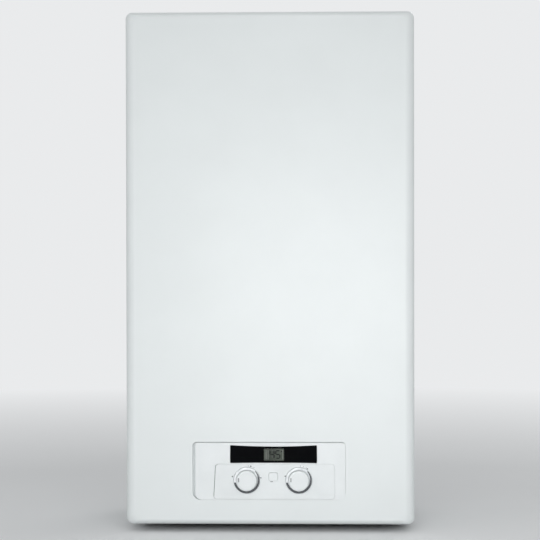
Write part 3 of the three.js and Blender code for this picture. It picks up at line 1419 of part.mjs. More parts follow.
function hoodForm(inset) {
  const skirtHalf = CELL_W / 2 - inset;
  const frontY = CELL_FRONT_Y + inset;
  const rearY = CELL_REAR_Y - inset;
  const neckHalf = HOOD_NECK_W / 2 - inset;
  const neckFrontY = FAN_REAR_Y + SEAT + inset;
  const footZ = inset > 0 ? HOOD_Z - CUT_PAST : HOOD_Z;
  const slopeZ = HOOD_Z + HOOD_SKIRT_H - inset / 2;
  const neckZ = slopeZ + HOOD_SLOPE_H;
  const neckTop = FAN_Z + HOOD_NECK_TOP - inset;
  return loft([
    hoodRing(skirtHalf, 0, frontY, rearY, footZ),
    hoodRing(skirtHalf, 0, frontY, rearY, slopeZ),
    hoodRing(neckHalf, FAN_X, neckFrontY, rearY, neckZ),
    hoodRing(neckHalf, FAN_X, neckFrontY, rearY, neckTop),
  ]);
}

function flueHood() {
  const mouthY = [FAN_REAR_Y - CUT_PAST, FAN_REAR_Y + SEAT + HOOD_SHEET + CUT_PAST];
  return cut(hoodForm(0), hoodForm(HOOD_SHEET), barY(FAN_X, FAN_Z, FAN_INLET_R, mouthY));
}

/** The pressure switch's rear plane, on the chamber's left wall, and the nipple on top of its body. */
const SWITCH_WALL_X = -CHAMBER_HALF_W + CHAMBER_SHEET + SEAT;
const SWITCH_NIPPLE_X = SWITCH_WALL_X + FRAME_SHEET + SWITCH_T / 2;
const SWITCH_Z = CHAMBER_TOP - SWITCH_DROP;
const SWITCH_NIPPLE_TOP = SWITCH_Z + SWITCH_R + SWITCH_NIPPLE_L;

/** Pressure switch: plate, round body and a nipple for its hose. */
function airPressureSwitch() {
  const plateHalf = SWITCH_PLATE / 2;
  const plateX = [SWITCH_WALL_X, SWITCH_WALL_X + FRAME_SHEET];
  const bodyX = [SWITCH_WALL_X + FRAME_SHEET / 2, SWITCH_WALL_X + FRAME_SHEET + SWITCH_T];
  return join(
    block(plateX, [-FLUE_Y - plateHalf, -FLUE_Y + plateHalf], [SWITCH_Z - plateHalf, SWITCH_Z + plateHalf]),
    barX(-FLUE_Y, SWITCH_Z, SWITCH_R, bodyX, FINE_SIDES),
    barZ(SWITCH_NIPPLE_X, -FLUE_Y, NIPPLE_R, [SWITCH_Z, SWITCH_NIPPLE_TOP]),
  );
}

/** Hose from the switch up and across to the fan's pressure nipple. */
function pressureHose() {
  return pipe([
    [SWITCH_NIPPLE_X, -FLUE_Y, SWITCH_NIPPLE_TOP + SEAT],
    [SWITCH_NIPPLE_X, -FLUE_Y, FAN_Z],
    [FAN_X - FAN_R - SWITCH_NIPPLE_L - SEAT, -FLUE_Y, FAN_Z],
  ], HOSE_R, HOSE_R * 3);
}

addPart('chamber_housing', chamberHousing(), 'galvanised');
addPart('chamber_seal', chamberSeal(), 'rubber');
addPart('chamber_cover', chamberCover(), 'galvanised');
addPart('flue_collar', flueCollar().translate([0, -FLUE_Y, 0]), 'aluminium');
addPart('fan_housing', fanHousing(), 'aluminium');
addPart('fan_impeller', bladedWheel({
  radius: IMPELLER_R,
  width: IMPELLER_W,
  eyeR: IMPELLER_EYE_R,
  hubR: IMPELLER_HUB_R,
  boreR: FAN_SHAFT_R + SEAT,
  disc: IMPELLER_DISC,
  blades: IMPELLER_BLADES,
  bladeT: BLADE_T,
  lean: BLADE_LEAN,
  sides: FINE_SIDES,
}), 'aluminium', [FAN_X, -FLUE_Y, FAN_Z]);
addPart('fan_motor', fanMotor(), 'blackPaint', [FAN_X, 0, FAN_Z]);
addPart('flue_hood', flueHood(), 'galvanised');
addPart('air_pressure_switch', airPressureSwitch(), 'greyPlastic');
addPart('pressure_hose', pressureHose(), 'rubber');

// ---- Heat cell --------------------------------------------------------------------------------

function manifoldMidY() {
  return MANIFOLD_REAR_Y - MANIFOLD_D / 2;
}

/** Open box round the flame, with brackets to the chamber's back and a window for the gas jets. */
function combustionChamber() {
  const half = CELL_W / 2;
  const inner = half - CELL_SHEET;
  const jetHalf = MANIFOLD_W / 2 + JET_WINDOW_CLEAR;
  const jetZ = MANIFOLD_Z - JET_WINDOW_CLEAR;
  const bracketZ = [CELL_Z + CELL_BRACKET_IN, CELL_TOP - CELL_BRACKET_IN];
  const bracketY = [CELL_REAR_Y - CELL_SHEET / 2, CHAMBER_BACK_Y - CHAMBER_SHEET - SEAT];
  const shell = join(
    slab(half, [CELL_REAR_Y, CELL_FRONT_Y], [CELL_Z, CELL_TOP]),
    block(CELL_BRACKET_X, bracketY, bracketZ),
    block(CELL_BRACKET_X.map((x) => -x), bracketY, bracketZ),
  );
  const frontCut = [CELL_FRONT_Y - CUT_PAST, CELL_FRONT_Y + CELL_SHEET + CUT_PAST];
  return cut(
    shell,
    slab(
      inner,
      [CELL_REAR_Y - CELL_SHEET, CELL_FRONT_Y + CELL_SHEET],
      [CELL_Z - CUT_PAST, CELL_TOP + CUT_PAST],
    ),
    slab(jetHalf, frontCut, [jetZ, jetZ + JET_WINDOW_H]),
    barY(ELECTRODE_X, CELL_Z + ELECTRODE_RISE, ELECTRODE_R + ELECTRODE_HOLE_CLEAR, frontCut),
  );
}

function chamberInsulation() {
  const half = CELL_W / 2 - CELL_SHEET - SEAT;
  const rearY = CELL_REAR_Y - CELL_SHEET - SEAT;
  const frontY = CELL_FRONT_Y + CELL_SHEET + SEAT;
  const top = CELL_TOP - LINING_DROP;
  const foot = top - LINING_H;
  return cut(
    slab(half, [rearY, frontY], [foot, top]),
    slab(half - LINING_T, [rearY - LINING_T, frontY + LINING_T], [foot - CUT_PAST, top + CUT_PAST]),
    barY(
      ELECTRODE_X,
      CELL_Z + ELECTRODE_RISE,
      ELECTRODE_R + ELECTRODE_HOLE_CLEAR,
      [frontY - CUT_PAST, frontY + LINING_T + CUT_PAST],
    ),
  );
}

/** Fin block with its water tubes in a middle band, headers at both ends and two ports below. */
function heatExchanger() {
  const half = EXCHANGER_W / 2;
  const rearY = CELL_REAR_Y - CELL_SHEET;
  const frontY = CELL_FRONT_Y + CELL_SHEET;
  const coreZ = [PORT_Z - FIN_CORE_H / 2, PORT_Z + FIN_CORE_H / 2];
  const pitch = EXCHANGER_W / EXCHANGER_FINS;
  const gapHalf = (pitch * FIN_GAP_SHARE) / 2;
  let body = slab(half, [rearY, frontY], [EXCHANGER_Z, EXCHANGER_TOP]);
  for (let i = 0; i < EXCHANGER_FINS; i += 1) {
    const x = -half + pitch * (i + 0.5);
    const gapX = [x - gapHalf, x + gapHalf];
    const gapY = [rearY + CUT_PAST, frontY - CUT_PAST];
    body = cut(
      body,
      block(gapX, gapY, [EXCHANGER_Z - CUT_PAST, coreZ[0]]),
      block(gapX, gapY, [coreZ[1], EXCHANGER_TOP + CUT_PAST]),
    );
  }
  for (const side of [-1, 1]) {
    body = join(
      body,
      block([side * (half - ROOT), side * (half + HEADER_W)], [rearY - HEADER_IN, frontY + HEADER_IN], coreZ),
      barX(-PORT_Y, PORT_Z, PORT_R, [side * half, side * (PORT_X + PORT_R)]),
      barZ(side * PORT_X, -PORT_Y, PORT_R, [PORT_FOOT_Z, PORT_Z]),
    );
  }
  return body;
}

function burner() {
  const rearY = CELL_REAR_Y - CELL_SHEET - BURNER_INSET;
  const frontY = CELL_FRONT_Y + CELL_SHEET + BURNER_INSET;
  const railHalf = CELL_W / 2 - CELL_SHEET - SEAT;
  const foot = CELL_Z + BURNER_RISE;
  const railZ = [foot, foot + BURNER_RAIL_H];
  let body = join(
    slab(railHalf, [rearY, rearY - BURNER_RAIL_T], railZ),
    slab(railHalf, [frontY, frontY + BURNER_RAIL_T], railZ),
  );
  for (let i = 0; i < BURNER_BARS; i += 1) {
    const x = (i - (BURNER_BARS - 1) / 2) * BURNER_PITCH;
    const half = BURNER_BAR_W / 2;
    const shoulder = foot + BURNER_H - half / 2;
    const outline = [
      new THREE.Vector2(x - half, foot),
      new THREE.Vector2(x + half, foot),
      new THREE.Vector2(x + half, shoulder),
      new THREE.Vector2(x + half / 2, foot + BURNER_H),
      new THREE.Vector2(x - half / 2, foot + BURNER_H),
      new THREE.Vector2(x - half, shoulder),
    ];
    body = join(body, prismY(new THREE.Shape(outline), [rearY - ROOT, frontY + ROOT]));
  }
  return body;
}

function gasManifold() {
  const ys = [MANIFOLD_REAR_Y, MANIFOLD_REAR_Y - MANIFOLD_D];
  let body = join(
    slab(MANIFOLD_W / 2, ys, [MANIFOLD_Z, MANIFOLD_Z + MANIFOLD_H]),
    barZ(0, manifoldMidY(), MANIFOLD_D / 2, [manifoldPortZ(), MANIFOLD_Z + ROOT], STUD_SIDES),
  );
  for (let i = 0; i < BURNER_BARS; i += 1) {
    const x = (i - (BURNER_BARS - 1) / 2) * BURNER_PITCH;
    const jetY = [MANIFOLD_REAR_Y - ROOT, CELL_FRONT_Y + CELL_SHEET + BURNER_INSET - SEAT - JET_CLEAR];
    body = join(body, barY(x, MANIFOLD_Z + MANIFOLD_H / 2, JET_R, jetY, JET_SIDES));
  }
  return body;
}

/** Lower end of the manifold's inlet, where the burner's gas pipe meets it. */
function manifoldPortZ() {
  return CHAMBER_Z + CHAMBER_SHEET + MANIFOLD_PORT_RISE;
}

function ignitionElectrode() {
  const z = CELL_Z + ELECTRODE_RISE;
  const wallY = CELL_FRONT_Y - SEAT;
  const half = ELECTRODE_PLATE / 2;
  const bodyFront = wallY - ELECTRODE_L / 3;
  const bodyRear = bodyFront + ELECTRODE_L;
  const plateX = [ELECTRODE_X - half, ELECTRODE_X + half];
  return join(
    block(plateX, [wallY, wallY - FRAME_SHEET], [z - half, z + half / 2]),
    barY(ELECTRODE_X, z, ELECTRODE_R, [bodyFront, bodyRear], STUD_SIDES),
    barY(ELECTRODE_X, z, ELECTRODE_TIP_R, [bodyRear - ROOT, bodyRear + ELECTRODE_TIP_L], JET_SIDES),
  );
}

addPart('combustion_chamber', combustionChamber(), 'galvanised');
addPart('chamber_insulation', chamberInsulation(), 'ceramicFibre');
addPart('heat_exchanger', heatExchanger(), 'copper');
addPart('burner', burner(), 'steel');
addPart('gas_manifold', gasManifold(), 'aluminium');
addPart('ignition_electrode', ignitionElectrode(), 'ceramic');

// ---- Water and gas sides ----------------------------------------------------------------------

/** The vessel's form through its depth, from rows of [share of the depth, outline drawn in]. */
function vesselForm(rows, sheet) {
  const rearY = PLATE_FRONT_Y - SEAT - sheet;
  const depth = VESSEL_D - 2 * sheet;
  return loft(rows.map(([share, inset]) => rectRing(
    0,
    vesselMidZ(),
    VESSEL_W / 2 - VESSEL_RIM - sheet - inset,
    VESSEL_H / 2 - VESSEL_RIM - sheet - inset,
    VESSEL_R - sheet - inset,
    rearY - depth * share,
  )));
}

/** Flat expansion vessel: two pressed halves of sheet with a rim where they meet, and a port below. */
function expansionVessel() {
  const mirrored = (rows) => [...rows, ...rows.map(([share, inset]) => [1 - share, inset]).reverse()];
  const rimShare = 0.5 - VESSEL_RIM_T / 2 / VESSEL_D;
  const shell = vesselForm(mirrored([...VESSEL_DISH, [rimShare, 0], [rimShare, -VESSEL_RIM]]), 0);
  const space = vesselForm(mirrored(VESSEL_DISH), VESSEL_SHEET);
  const portTop = vesselMidZ() - VESSEL_H / 2 + VESSEL_PORT_IN;
  const port = barZ(VESSEL_PORT_X, vesselMidY(), VESSEL_PORT_R, [vesselPortZ(), portTop]);
  const bore = [vesselPortZ() - CUT_PAST, portTop + CUT_PAST];
  return cut(
    join(shell, port),
    space,
    barZ(VESSEL_PORT_X, vesselMidY(), VESSEL_BORE_R, bore),
  );
}

function vesselMidZ() {
  return CHAMBER_Z + VESSEL_RISE + VESSEL_H / 2;
}

function vesselMidY() {
  return PLATE_FRONT_Y - SEAT - VESSEL_D / 2;
}

function vesselPortZ() {
  return CHAMBER_Z + VESSEL_RISE - VESSEL_PORT_L;
}

/** A connection: thread below the shelf, a wider seat on it, and a bore from below. */
function connection(x, threadR) {
  return join(
    barZ(x, -PIPE_Y, threadR, [-PIPE_END, GROUP_FOOT_Z + ROOT]),
    barZ(x, -PIPE_Y, threadR + NUT_MARGIN, [GROUP_FOOT_Z, GROUP_Z + ROOT]),
  );
}

function connectionBore(x, boreR) {
  return barZ(x, -PIPE_Y, boreR, [-PIPE_END - CUT_PAST, -PIPE_END + BORE_DEPTH]);
}

/** The casting that both water groups share, mirrored by side. */
function waterGroup(side) {
  return join(
    block(
      [side * GROUP_INNER_X, side * GROUP_OUTER_X],
      [-GROUP_FRONT, -GROUP_FRONT + GROUP_D],
      [GROUP_Z, GROUP_TOP],
    ),
    connection(side * SMALL_PIPE_X, SMALL_THREAD_R),
    connection(side * BIG_PIPE_X, BIG_THREAD_R),
  );
}

function flowHydraulicBlock() {
  return cut(
    join(waterGroup(-1), barZ(-BIG_PIPE_X, -PIPE_Y, TOWER_R, [GROUP_TOP - ROOT, TOWER_TOP])),
    connectionBore(-BIG_PIPE_X, BIG_BORE_R),
    connectionBore(-SMALL_PIPE_X, SMALL_BORE_R),
    barZ(-BIG_PIPE_X, -PIPE_Y, ROD_BORE_R, [-PIPE_END + BORE_DEPTH - CUT_PAST, TOWER_TOP + CUT_PAST]),
  );
}

/** Bore above the cold water connection, in which the flow turbine turns. */
function turbineWell() {
  return barZ(SMALL_PIPE_X, -PIPE_Y, SMALL_BORE_R, [-PIPE_END, -PIPE_END + TURBINE_RISE + 2 * TURBINE_H]);
}

function returnHydraulicBlock() {
  return cut(
    join(
      waterGroup(1),
      barZ(PUMP_X, pumpMidY(), PUMP_PORT_R + PUMP_PORT_STEP, [GROUP_TOP - ROOT, GROUP_TOP + SEAT_H]),
      barZ(FILL_X, -PIPE_Y, FILL_R, [FILL_FOOT_Z, GROUP_Z + ROOT]),
    ),
    connectionBore(BIG_PIPE_X, BIG_BORE_R),
    connectionBore(SMALL_PIPE_X, SMALL_BORE_R),
    turbineWell(),
    barZ(FILL_X, -PIPE_Y, FILL_STEM_R + SEAT, [FILL_FOOT_Z - CUT_PAST, FILL_FOOT_Z + SEAT_H / 2]),
  );
}

function pumpMidY() {
  return -PUMP_REAR - PUMP_D / 2;
}

function pumpBody() {
  const midY = pumpMidY();
  return cut(
    join(
      barY(PUMP_X, PUMP_Z, PUMP_R, [-PUMP_REAR, PUMP_FRONT_Y], FINE_SIDES),
      barZ(PUMP_X, midY, PUMP_PORT_R, [GROUP_TOP + SEAT_H + SEAT, PUMP_Z - PUMP_WELL_R]),
      barZ(PUMP_OUT_X, midY, PUMP_OUT_R, [PUMP_Z + PUMP_WELL_R, PUMP_OUT_Z]),
      barZ(VENT_X, midY, VENT_FOOT_R, [VENT_SEAT_Z - VENT_FOOT_DROP, VENT_SEAT_Z]),
    ),
    barY(PUMP_X, PUMP_Z, PUMP_WELL_R, [-PUMP_REAR - PUMP_BACK_WALL, PUMP_FRONT_Y - CUT_PAST], FINE_SIDES),
  );
}

/** Wet-rotor motor on the pump, with its terminal box above and its vent screw in front. */
function pumpMotor() {
  const rearY = PUMP_FRONT_Y - SEAT;
  const bodyRearY = rearY - PUMP_MOTOR_FLANGE;
  const frontY = bodyRearY - PUMP_MOTOR_L;
  const boxHalf = PUMP_BOX_W / 2;
  const boxTop = PUMP_MOTOR_R + PUMP_BOX_H;
  const boxY = [bodyRearY - PUMP_BOX_IN, bodyRearY - PUMP_BOX_IN - PUMP_BOX_D];
  return join(
    barY(0, 0, PUMP_MOTOR_FLANGE_R, [rearY, bodyRearY], FINE_SIDES),
    barY(0, 0, PUMP_MOTOR_R, [rearY, frontY], FINE_SIDES),
    barY(0, 0, PUMP_CAP_R, [rearY, frontY - PUMP_CAP_T]),
    block([-boxHalf, boxHalf], boxY, [PUMP_BOX_FOOT, boxTop]),
    barY(0, 0, PUMP_SHAFT_R, [rearY - ROOT, pumpMidY() + PUMP_WHEEL_W / 4]),
  );
}

/** Diverter rod, made about its own axis with its foot at z = 0. */
function diverterRod() {
  const profile = [
    [0, 0],
    [ROD_R, 0],
    [ROD_R, ROD_DISC_RISE],
    [ROD_DISC_R, ROD_DISC_RISE + 1],
    [ROD_DISC_R, ROD_DISC_RISE + ROD_DISC_T - 1],
    [ROD_R, ROD_DISC_RISE + ROD_DISC_T],
    [ROD_R, ROD_LENGTH],
    [0, ROD_LENGTH],
  ];
  return turnedZ(profile);
}

function diverterMotor() {
  const footZ = TOWER_TOP + SEAT;
  const top = footZ + DIVERTER_MOTOR_H;
  const rodTop = ROD_FOOT_Z + ROD_LENGTH + ROD_HEADROOM;
  const plugHalf = DIVERTER_PLUG_W / 2;
  return cut(
    join(
      barZ(-BIG_PIPE_X, -PIPE_Y, DIVERTER_MOTOR_R, [footZ, top - DIVERTER_CROWN_H], FINE_SIDES),
      barZ(-BIG_PIPE_X, -PIPE_Y, DIVERTER_MOTOR_R - DIVERTER_CROWN_IN, [footZ, top], FINE_SIDES),
      block(
        [-BIG_PIPE_X - plugHalf, -BIG_PIPE_X + plugHalf],
        [-PIPE_Y - DIVERTER_MOTOR_R / 2, -PIPE_Y - DIVERTER_MOTOR_R - DIVERTER_PLUG_PROUD],
        DIVERTER_PLUG_Z.map((rise) => footZ + rise),
      ),
    ),
    barZ(-BIG_PIPE_X, -PIPE_Y, ROD_R + SEAT, [footZ - CUT_PAST, rodTop]),
  );
}

/** Brazed plate heat exchanger: a stack of plates whose rims stand out one by one. */
function plateHeatExchanger() {
  const rearY = -GROUP_FRONT - SEAT;
  const middleZ = (GROUP_Z + GROUP_TOP) / 2;
  const pitch = PLATES_D / PLATE_COUNT;
  const rings = [];
  for (let i = 0; i < PLATE_COUNT; i += 1) {
    const startY = rearY - pitch * i;
    const halfW = PLATES_W / 2;
    const halfH = PLATES_H / 2;
    rings.push(rectRing(0, middleZ, halfW - PLATE_RIM, halfH - PLATE_RIM, PLATE_R, startY));
    rings.push(rectRing(0, middleZ, halfW, halfH, PLATE_R, startY - pitch / 2));
  }
  return loft(rings);
}

/** Small bladed rotor about the Z axis, with its lower face at z = 0. */
function flowTurbine() {
  let rotor = barZ(0, 0, TURBINE_HUB_R, [0, TURBINE_H], STUD_SIDES);
  for (let i = 0; i < TURBINE_BLADES; i += 1) {
    const blade = new THREE.BoxGeometry(TURBINE_R, TURBINE_BLADE_T, TURBINE_H);
    blade.translate(TURBINE_R / 2, 0, 0);
    blade.rotateX(TURBINE_TWIST);
    blade.scale(1, 1, TURBINE_BLADE_SHARE);
    blade.rotateZ((2 * Math.PI * i) / TURBINE_BLADES);
    blade.translate(0, 0, TURBINE_H / 2);
    rotor = join(rotor, solid(blade));
  }
  return rotor;
}

function safetyValve() {
  const rearY = -PIPE_Y + RELIEF_BEHIND;
  const frontY = rearY - RELIEF_L;
  return join(
    barY(RELIEF_X, RELIEF_Z, RELIEF_R, [rearY, frontY]),
    barX(-PIPE_Y, RELIEF_Z, RELIEF_ARM_R, [GROUP_OUTER_X + SEAT, RELIEF_X]),
    barZ(RELIEF_X, -PIPE_Y, RELIEF_SPOUT_R, [RELIEF_SPOUT_END, RELIEF_Z]),
  );
}

/** Fluted cap, made about its own axis with its rear face at y = 0. */
function safetyValveKnob() {
  let cap = barY(0, 0, RELIEF_KNOB_R, [0, -RELIEF_KNOB_L]);
  const reach = RELIEF_KNOB_R + RELIEF_FLUTE_OUT;
  const fluteY = [-RELIEF_SKIRT, -RELIEF_KNOB_L - CUT_PAST];
  for (let i = 0; i < RELIEF_FLUTES; i += 1) {
    const angle = (2 * Math.PI * (i + 0.5)) / RELIEF_FLUTES;
    const [x, z] = [reach * Math.cos(angle), reach * Math.sin(angle)];
    cap = cut(cap, barY(x, z, RELIEF_FLUTE_R, fluteY, TUBE_SIDES));
  }
  return cap;
}

/** Filling tap handle about its own axis: stem up into the bonnet, and a wing below. */
function fillingTapHandle() {
  const half = FILL_WING_W / 2;
  const top = FILL_FOOT_Z - SEAT;
  return join(
    barZ(0, 0, FILL_STEM_R, [top - ROOT, FILL_FOOT_Z + SEAT_H / 2 - SEAT]),
    barZ(0, 0, FILL_KNOB_R, [top - FILL_WING_H, top]),
    slab(half, [-FILL_WING_T / 2, FILL_WING_T / 2], [top - FILL_WING_H, top - FILL_WING_DROP]),
  );
}

function airVent() {
  const foot = VENT_SEAT_Z + SEAT;
  const top = foot + VENT_H;
  const neckFoot = top - VENT_NECK_H;
  const profile = [
    [0, foot],
    [VENT_R, foot],
    [VENT_R, neckFoot - VENT_SHOULDER],
    [VENT_R - VENT_SHOULDER, neckFoot],
    [VENT_NECK_R, neckFoot],
    [VENT_NECK_R, top],
    [0, top],
  ];
  return turnedZ(profile);
}

function airVentCap() {
  const profile = [
    [0, 0],
    [VENT_CAP_R, 0],
    [VENT_CAP_R, VENT_CAP_H - VENT_CAP_CHAMFER],
    [VENT_CAP_R - VENT_CAP_CHAMFER, VENT_CAP_H],
    [0, VENT_CAP_H],
  ];
  const slotHalf = VENT_CAP_SLOT_W / 2;
  const slotZ = [VENT_CAP_H - VENT_CAP_SLOT_DEPTH, VENT_CAP_H + CUT_PAST];
  return cut(turnedZ(profile, STUD_SIDES), slab(VENT_CAP_R * 2, [-slotHalf, slotHalf], slotZ));
}

function gasInletPipe() {
  const boreTop = -PIPE_END + GAS_BORE_DEPTH;
  const seatTop = GROUP_FOOT_Z + GAS_SEAT_H;
  const profile = [
    [BIG_BORE_R, -PIPE_END],
    [BIG_THREAD_R, -PIPE_END],
    [BIG_THREAD_R, GROUP_FOOT_Z],
    [BIG_THREAD_R + NUT_MARGIN, GROUP_FOOT_Z],
    [BIG_THREAD_R + NUT_MARGIN, seatTop],
    [PIPE_R, seatTop + GAS_TAPER_H],
    [PIPE_R, GAS_VALVE_Z - SEAT],
    [0, GAS_VALVE_Z - SEAT],
    [0, boreTop],
    [BIG_BORE_R, boreTop],
    [BIG_BORE_R, -PIPE_END],
  ];
  return turnedZ(profile);
}

/** Gas valve: cast body, two solenoid coils in front and an outlet boss above. */
function gasValve() {
  const half = GAS_VALVE_W / 2;
  const frontY = -GAS_VALVE_FRONT;
  const top = GAS_VALVE_Z + GAS_VALVE_H;
  const coilZ = GAS_VALVE_Z + GAS_VALVE_H / 2;
  const coilY = [frontY + ROOT, frontY - COIL_L];
  return join(
    slab(half, [frontY, frontY + GAS_VALVE_D], [GAS_VALVE_Z, top]),
    barZ(0, -PIPE_Y, GAS_BOSS_R, [top - ROOT, top + GAS_BOSS_H]),
    barY(-COIL_X, coilZ, COIL_R, coilY),
    barY(COIL_X, coilZ, COIL_R, coilY),
  );
}

function burnerGasPipe() {
  const from = GAS_VALVE_Z + GAS_VALVE_H + GAS_BOSS_H + SEAT;
  const to = manifoldPortZ() - SEAT;
  const frontY = manifoldMidY();
  const bendFoot = from + 2 * BEND_R;
  return pipe([
    [0, -PIPE_Y, from],
    [0, -PIPE_Y, bendFoot],
    [0, frontY, bendFoot + BEND_R],
    [0, frontY, to],
  ], GAS_PIPE_R);
}

function flowPipe() {
  const x = -BIG_PIPE_X + DIVERTER_MOTOR_R + PIPE_R + FLOW_PIPE_CLEAR;
  return pipe([
    [-PORT_X, -PORT_Y, PORT_FOOT_Z - SEAT],
    [-PORT_X, -PORT_Y, CHAMBER_Z - BEND_R],
    [x, -PIPE_Y, TOWER_TOP + DIVERTER_MOTOR_H + BEND_R],
    [x, -PIPE_Y, GROUP_TOP + SEAT],
  ], PIPE_R);
}

function returnPipe() {
  return pipe([
    [PUMP_OUT_X, pumpMidY(), PUMP_OUT_Z + SEAT],
    [PUMP_OUT_X, pumpMidY(), PUMP_OUT_Z + BEND_R],
    [PORT_X, -PORT_Y, CHAMBER_Z - BEND_R / 2],
    [PORT_X, -PORT_Y, PORT_FOOT_Z - SEAT],
  ], PIPE_R);
}

function expansionPipe() {
  const groupMidY = -GROUP_FRONT + GROUP_D / 2;
  return pipe([
    [VESSEL_PORT_X, vesselMidY(), vesselPortZ() - SEAT],
    [VESSEL_PORT_X, vesselMidY(), PUMP_Z + 2 * BEND_R],
    [VESSEL_PORT_X, groupMidY, PUMP_Z - BEND_R],
    [VESSEL_PORT_X, groupMidY, GROUP_TOP + SEAT],
  ], VESSEL_PIPE_R);
}

const ventCapZ = VENT_SEAT_Z + SEAT + VENT_H + SEAT;
const reliefKnobY = -PIPE_Y + RELIEF_BEHIND - RELIEF_L - SEAT;
addPart('expansion_vessel', expansionVessel(), 'redEnamel');
addPart('flow_hydraulic_block', flowHydraulicBlock(), 'brass');
addPart('return_hydraulic_block', returnHydraulicBlock(), 'brass');
addPart('plate_heat_exchanger', plateHeatExchanger(), 'steel');
addPart('diverter_rod', diverterRod(), 'steel', [-BIG_PIPE_X, -PIPE_Y, ROD_FOOT_Z]);
addPart('diverter_motor', diverterMotor(), 'blackPlastic');
addPart('pump_body', pumpBody(), 'blackPaint');
addPart('pump_motor', pumpMotor(), 'greyPlastic', [PUMP_X, 0, PUMP_Z]);
addPart('pump_impeller', bladedWheel({
  radius: PUMP_WHEEL_R,
  width: PUMP_WHEEL_W,
  eyeR: PUMP_EYE_R,
  hubR: PUMP_HUB_R,
  boreR: PUMP_SHAFT_R + SEAT,
  disc: IMPELLER_DISC,
  blades: PUMP_BLADES,
  bladeT: PUMP_BLADE_T,
  lean: BLADE_LEAN,
  sides: SIDES,
}), 'greyPlastic', [PUMP_X, pumpMidY(), PUMP_Z]);
addPart('flow_turbine', flowTurbine(), 'whitePlastic', [SMALL_PIPE_X, -PIPE_Y, -PIPE_END + TURBINE_RISE]);
addPart('safety_valve', safetyValve(), 'brass');
addPart('safety_valve_knob', safetyValveKnob(), 'redPlastic', [RELIEF_X, reliefKnobY, RELIEF_Z]);
addPart('filling_tap_handle', fillingTapHandle(), 'bluePlastic', [FILL_X, -PIPE_Y, 0]);
addPart('air_vent', airVent().translate([VENT_X, pumpMidY(), 0]), 'brass');
addPart('air_vent_cap', airVentCap(), 'blackPlastic', [VENT_X, pumpMidY(), ventCapZ]);
addPart('gas_inlet_pipe', gasInletPipe().translate([0, -PIPE_Y, 0]), 'brass');
addPart('gas_valve', gasValve(), 'aluminium');
addPart('burner_gas_pipe', burnerGasPipe(), 'copper');
addPart('flow_pipe', flowPipe(), 'copper');
addPart('return_pipe', returnPipe(), 'copper');
addPart('expansion_pipe', expansionPipe(), 'copper');

boiler.position.z = -WALL_MOUNT_Z;

export default boiler;
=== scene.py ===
"""Looks of the wall-hung combi boiler: its finishes, the fine pieces of its front, light and camera.

The frame is the CAD's, in metres: x to the right, y back into the wall, z up. The front's pieces are
written in millimetres, with heights from the casing's lower edge, as they are in the part's source.
"""
import json
import math

import bmesh
import bpy
from mathutils import Matrix, Vector

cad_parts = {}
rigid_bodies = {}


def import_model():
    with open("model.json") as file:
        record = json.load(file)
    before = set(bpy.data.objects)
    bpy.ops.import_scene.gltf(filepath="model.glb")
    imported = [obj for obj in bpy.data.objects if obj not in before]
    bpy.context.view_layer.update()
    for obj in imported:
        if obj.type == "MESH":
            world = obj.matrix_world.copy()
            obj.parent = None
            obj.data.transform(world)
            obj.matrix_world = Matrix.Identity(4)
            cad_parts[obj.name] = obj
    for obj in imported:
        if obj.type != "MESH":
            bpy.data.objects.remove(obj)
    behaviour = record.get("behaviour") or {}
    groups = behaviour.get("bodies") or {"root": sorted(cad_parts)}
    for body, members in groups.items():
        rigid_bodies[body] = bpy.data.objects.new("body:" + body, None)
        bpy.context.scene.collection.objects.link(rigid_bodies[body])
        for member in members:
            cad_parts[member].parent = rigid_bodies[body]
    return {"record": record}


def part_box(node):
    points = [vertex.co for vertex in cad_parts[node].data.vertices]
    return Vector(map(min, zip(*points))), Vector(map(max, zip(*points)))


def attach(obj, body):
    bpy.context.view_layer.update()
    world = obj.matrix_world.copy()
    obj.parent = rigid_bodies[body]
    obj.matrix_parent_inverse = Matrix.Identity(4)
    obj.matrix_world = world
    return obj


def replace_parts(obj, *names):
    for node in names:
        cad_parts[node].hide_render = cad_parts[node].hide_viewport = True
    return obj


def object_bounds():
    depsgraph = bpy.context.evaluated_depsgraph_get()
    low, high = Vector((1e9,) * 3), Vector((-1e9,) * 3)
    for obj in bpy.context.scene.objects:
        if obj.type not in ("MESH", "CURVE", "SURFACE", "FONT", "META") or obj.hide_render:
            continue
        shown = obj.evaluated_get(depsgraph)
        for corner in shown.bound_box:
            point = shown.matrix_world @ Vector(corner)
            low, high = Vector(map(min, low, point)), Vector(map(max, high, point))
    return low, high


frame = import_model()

CAD_BOX = [list(corner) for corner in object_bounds()]

MM = 0.001
COVER_LOW, COVER_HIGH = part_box("front_cover")
BASE_Z = COVER_LOW.z  # the casing's lower edge
FACE_Y = COVER_LOW.y / MM  # the front cover's face
CASE_H = (COVER_HIGH.z - COVER_LOW.z) / MM
CORNER_STEPS = 10  # of a quarter circle
ROUND_STEPS = 5  # of a small rounded edge
FINE_SIDES = 96  # of a circle
NOISE_SPAN = (0.3, 0.7)  # holds most of a noise's values
BAND_SCALE = math.tau / 20  # of a wave texture whose bands are a metre apart


def at(x, y, z):
    """A point of the part's source, in millimetres, as a point of the frame."""
    return Vector((x * MM, y * MM, BASE_Z + z * MM))


# ---- Finishes ----------------------------------------------------------------------------------

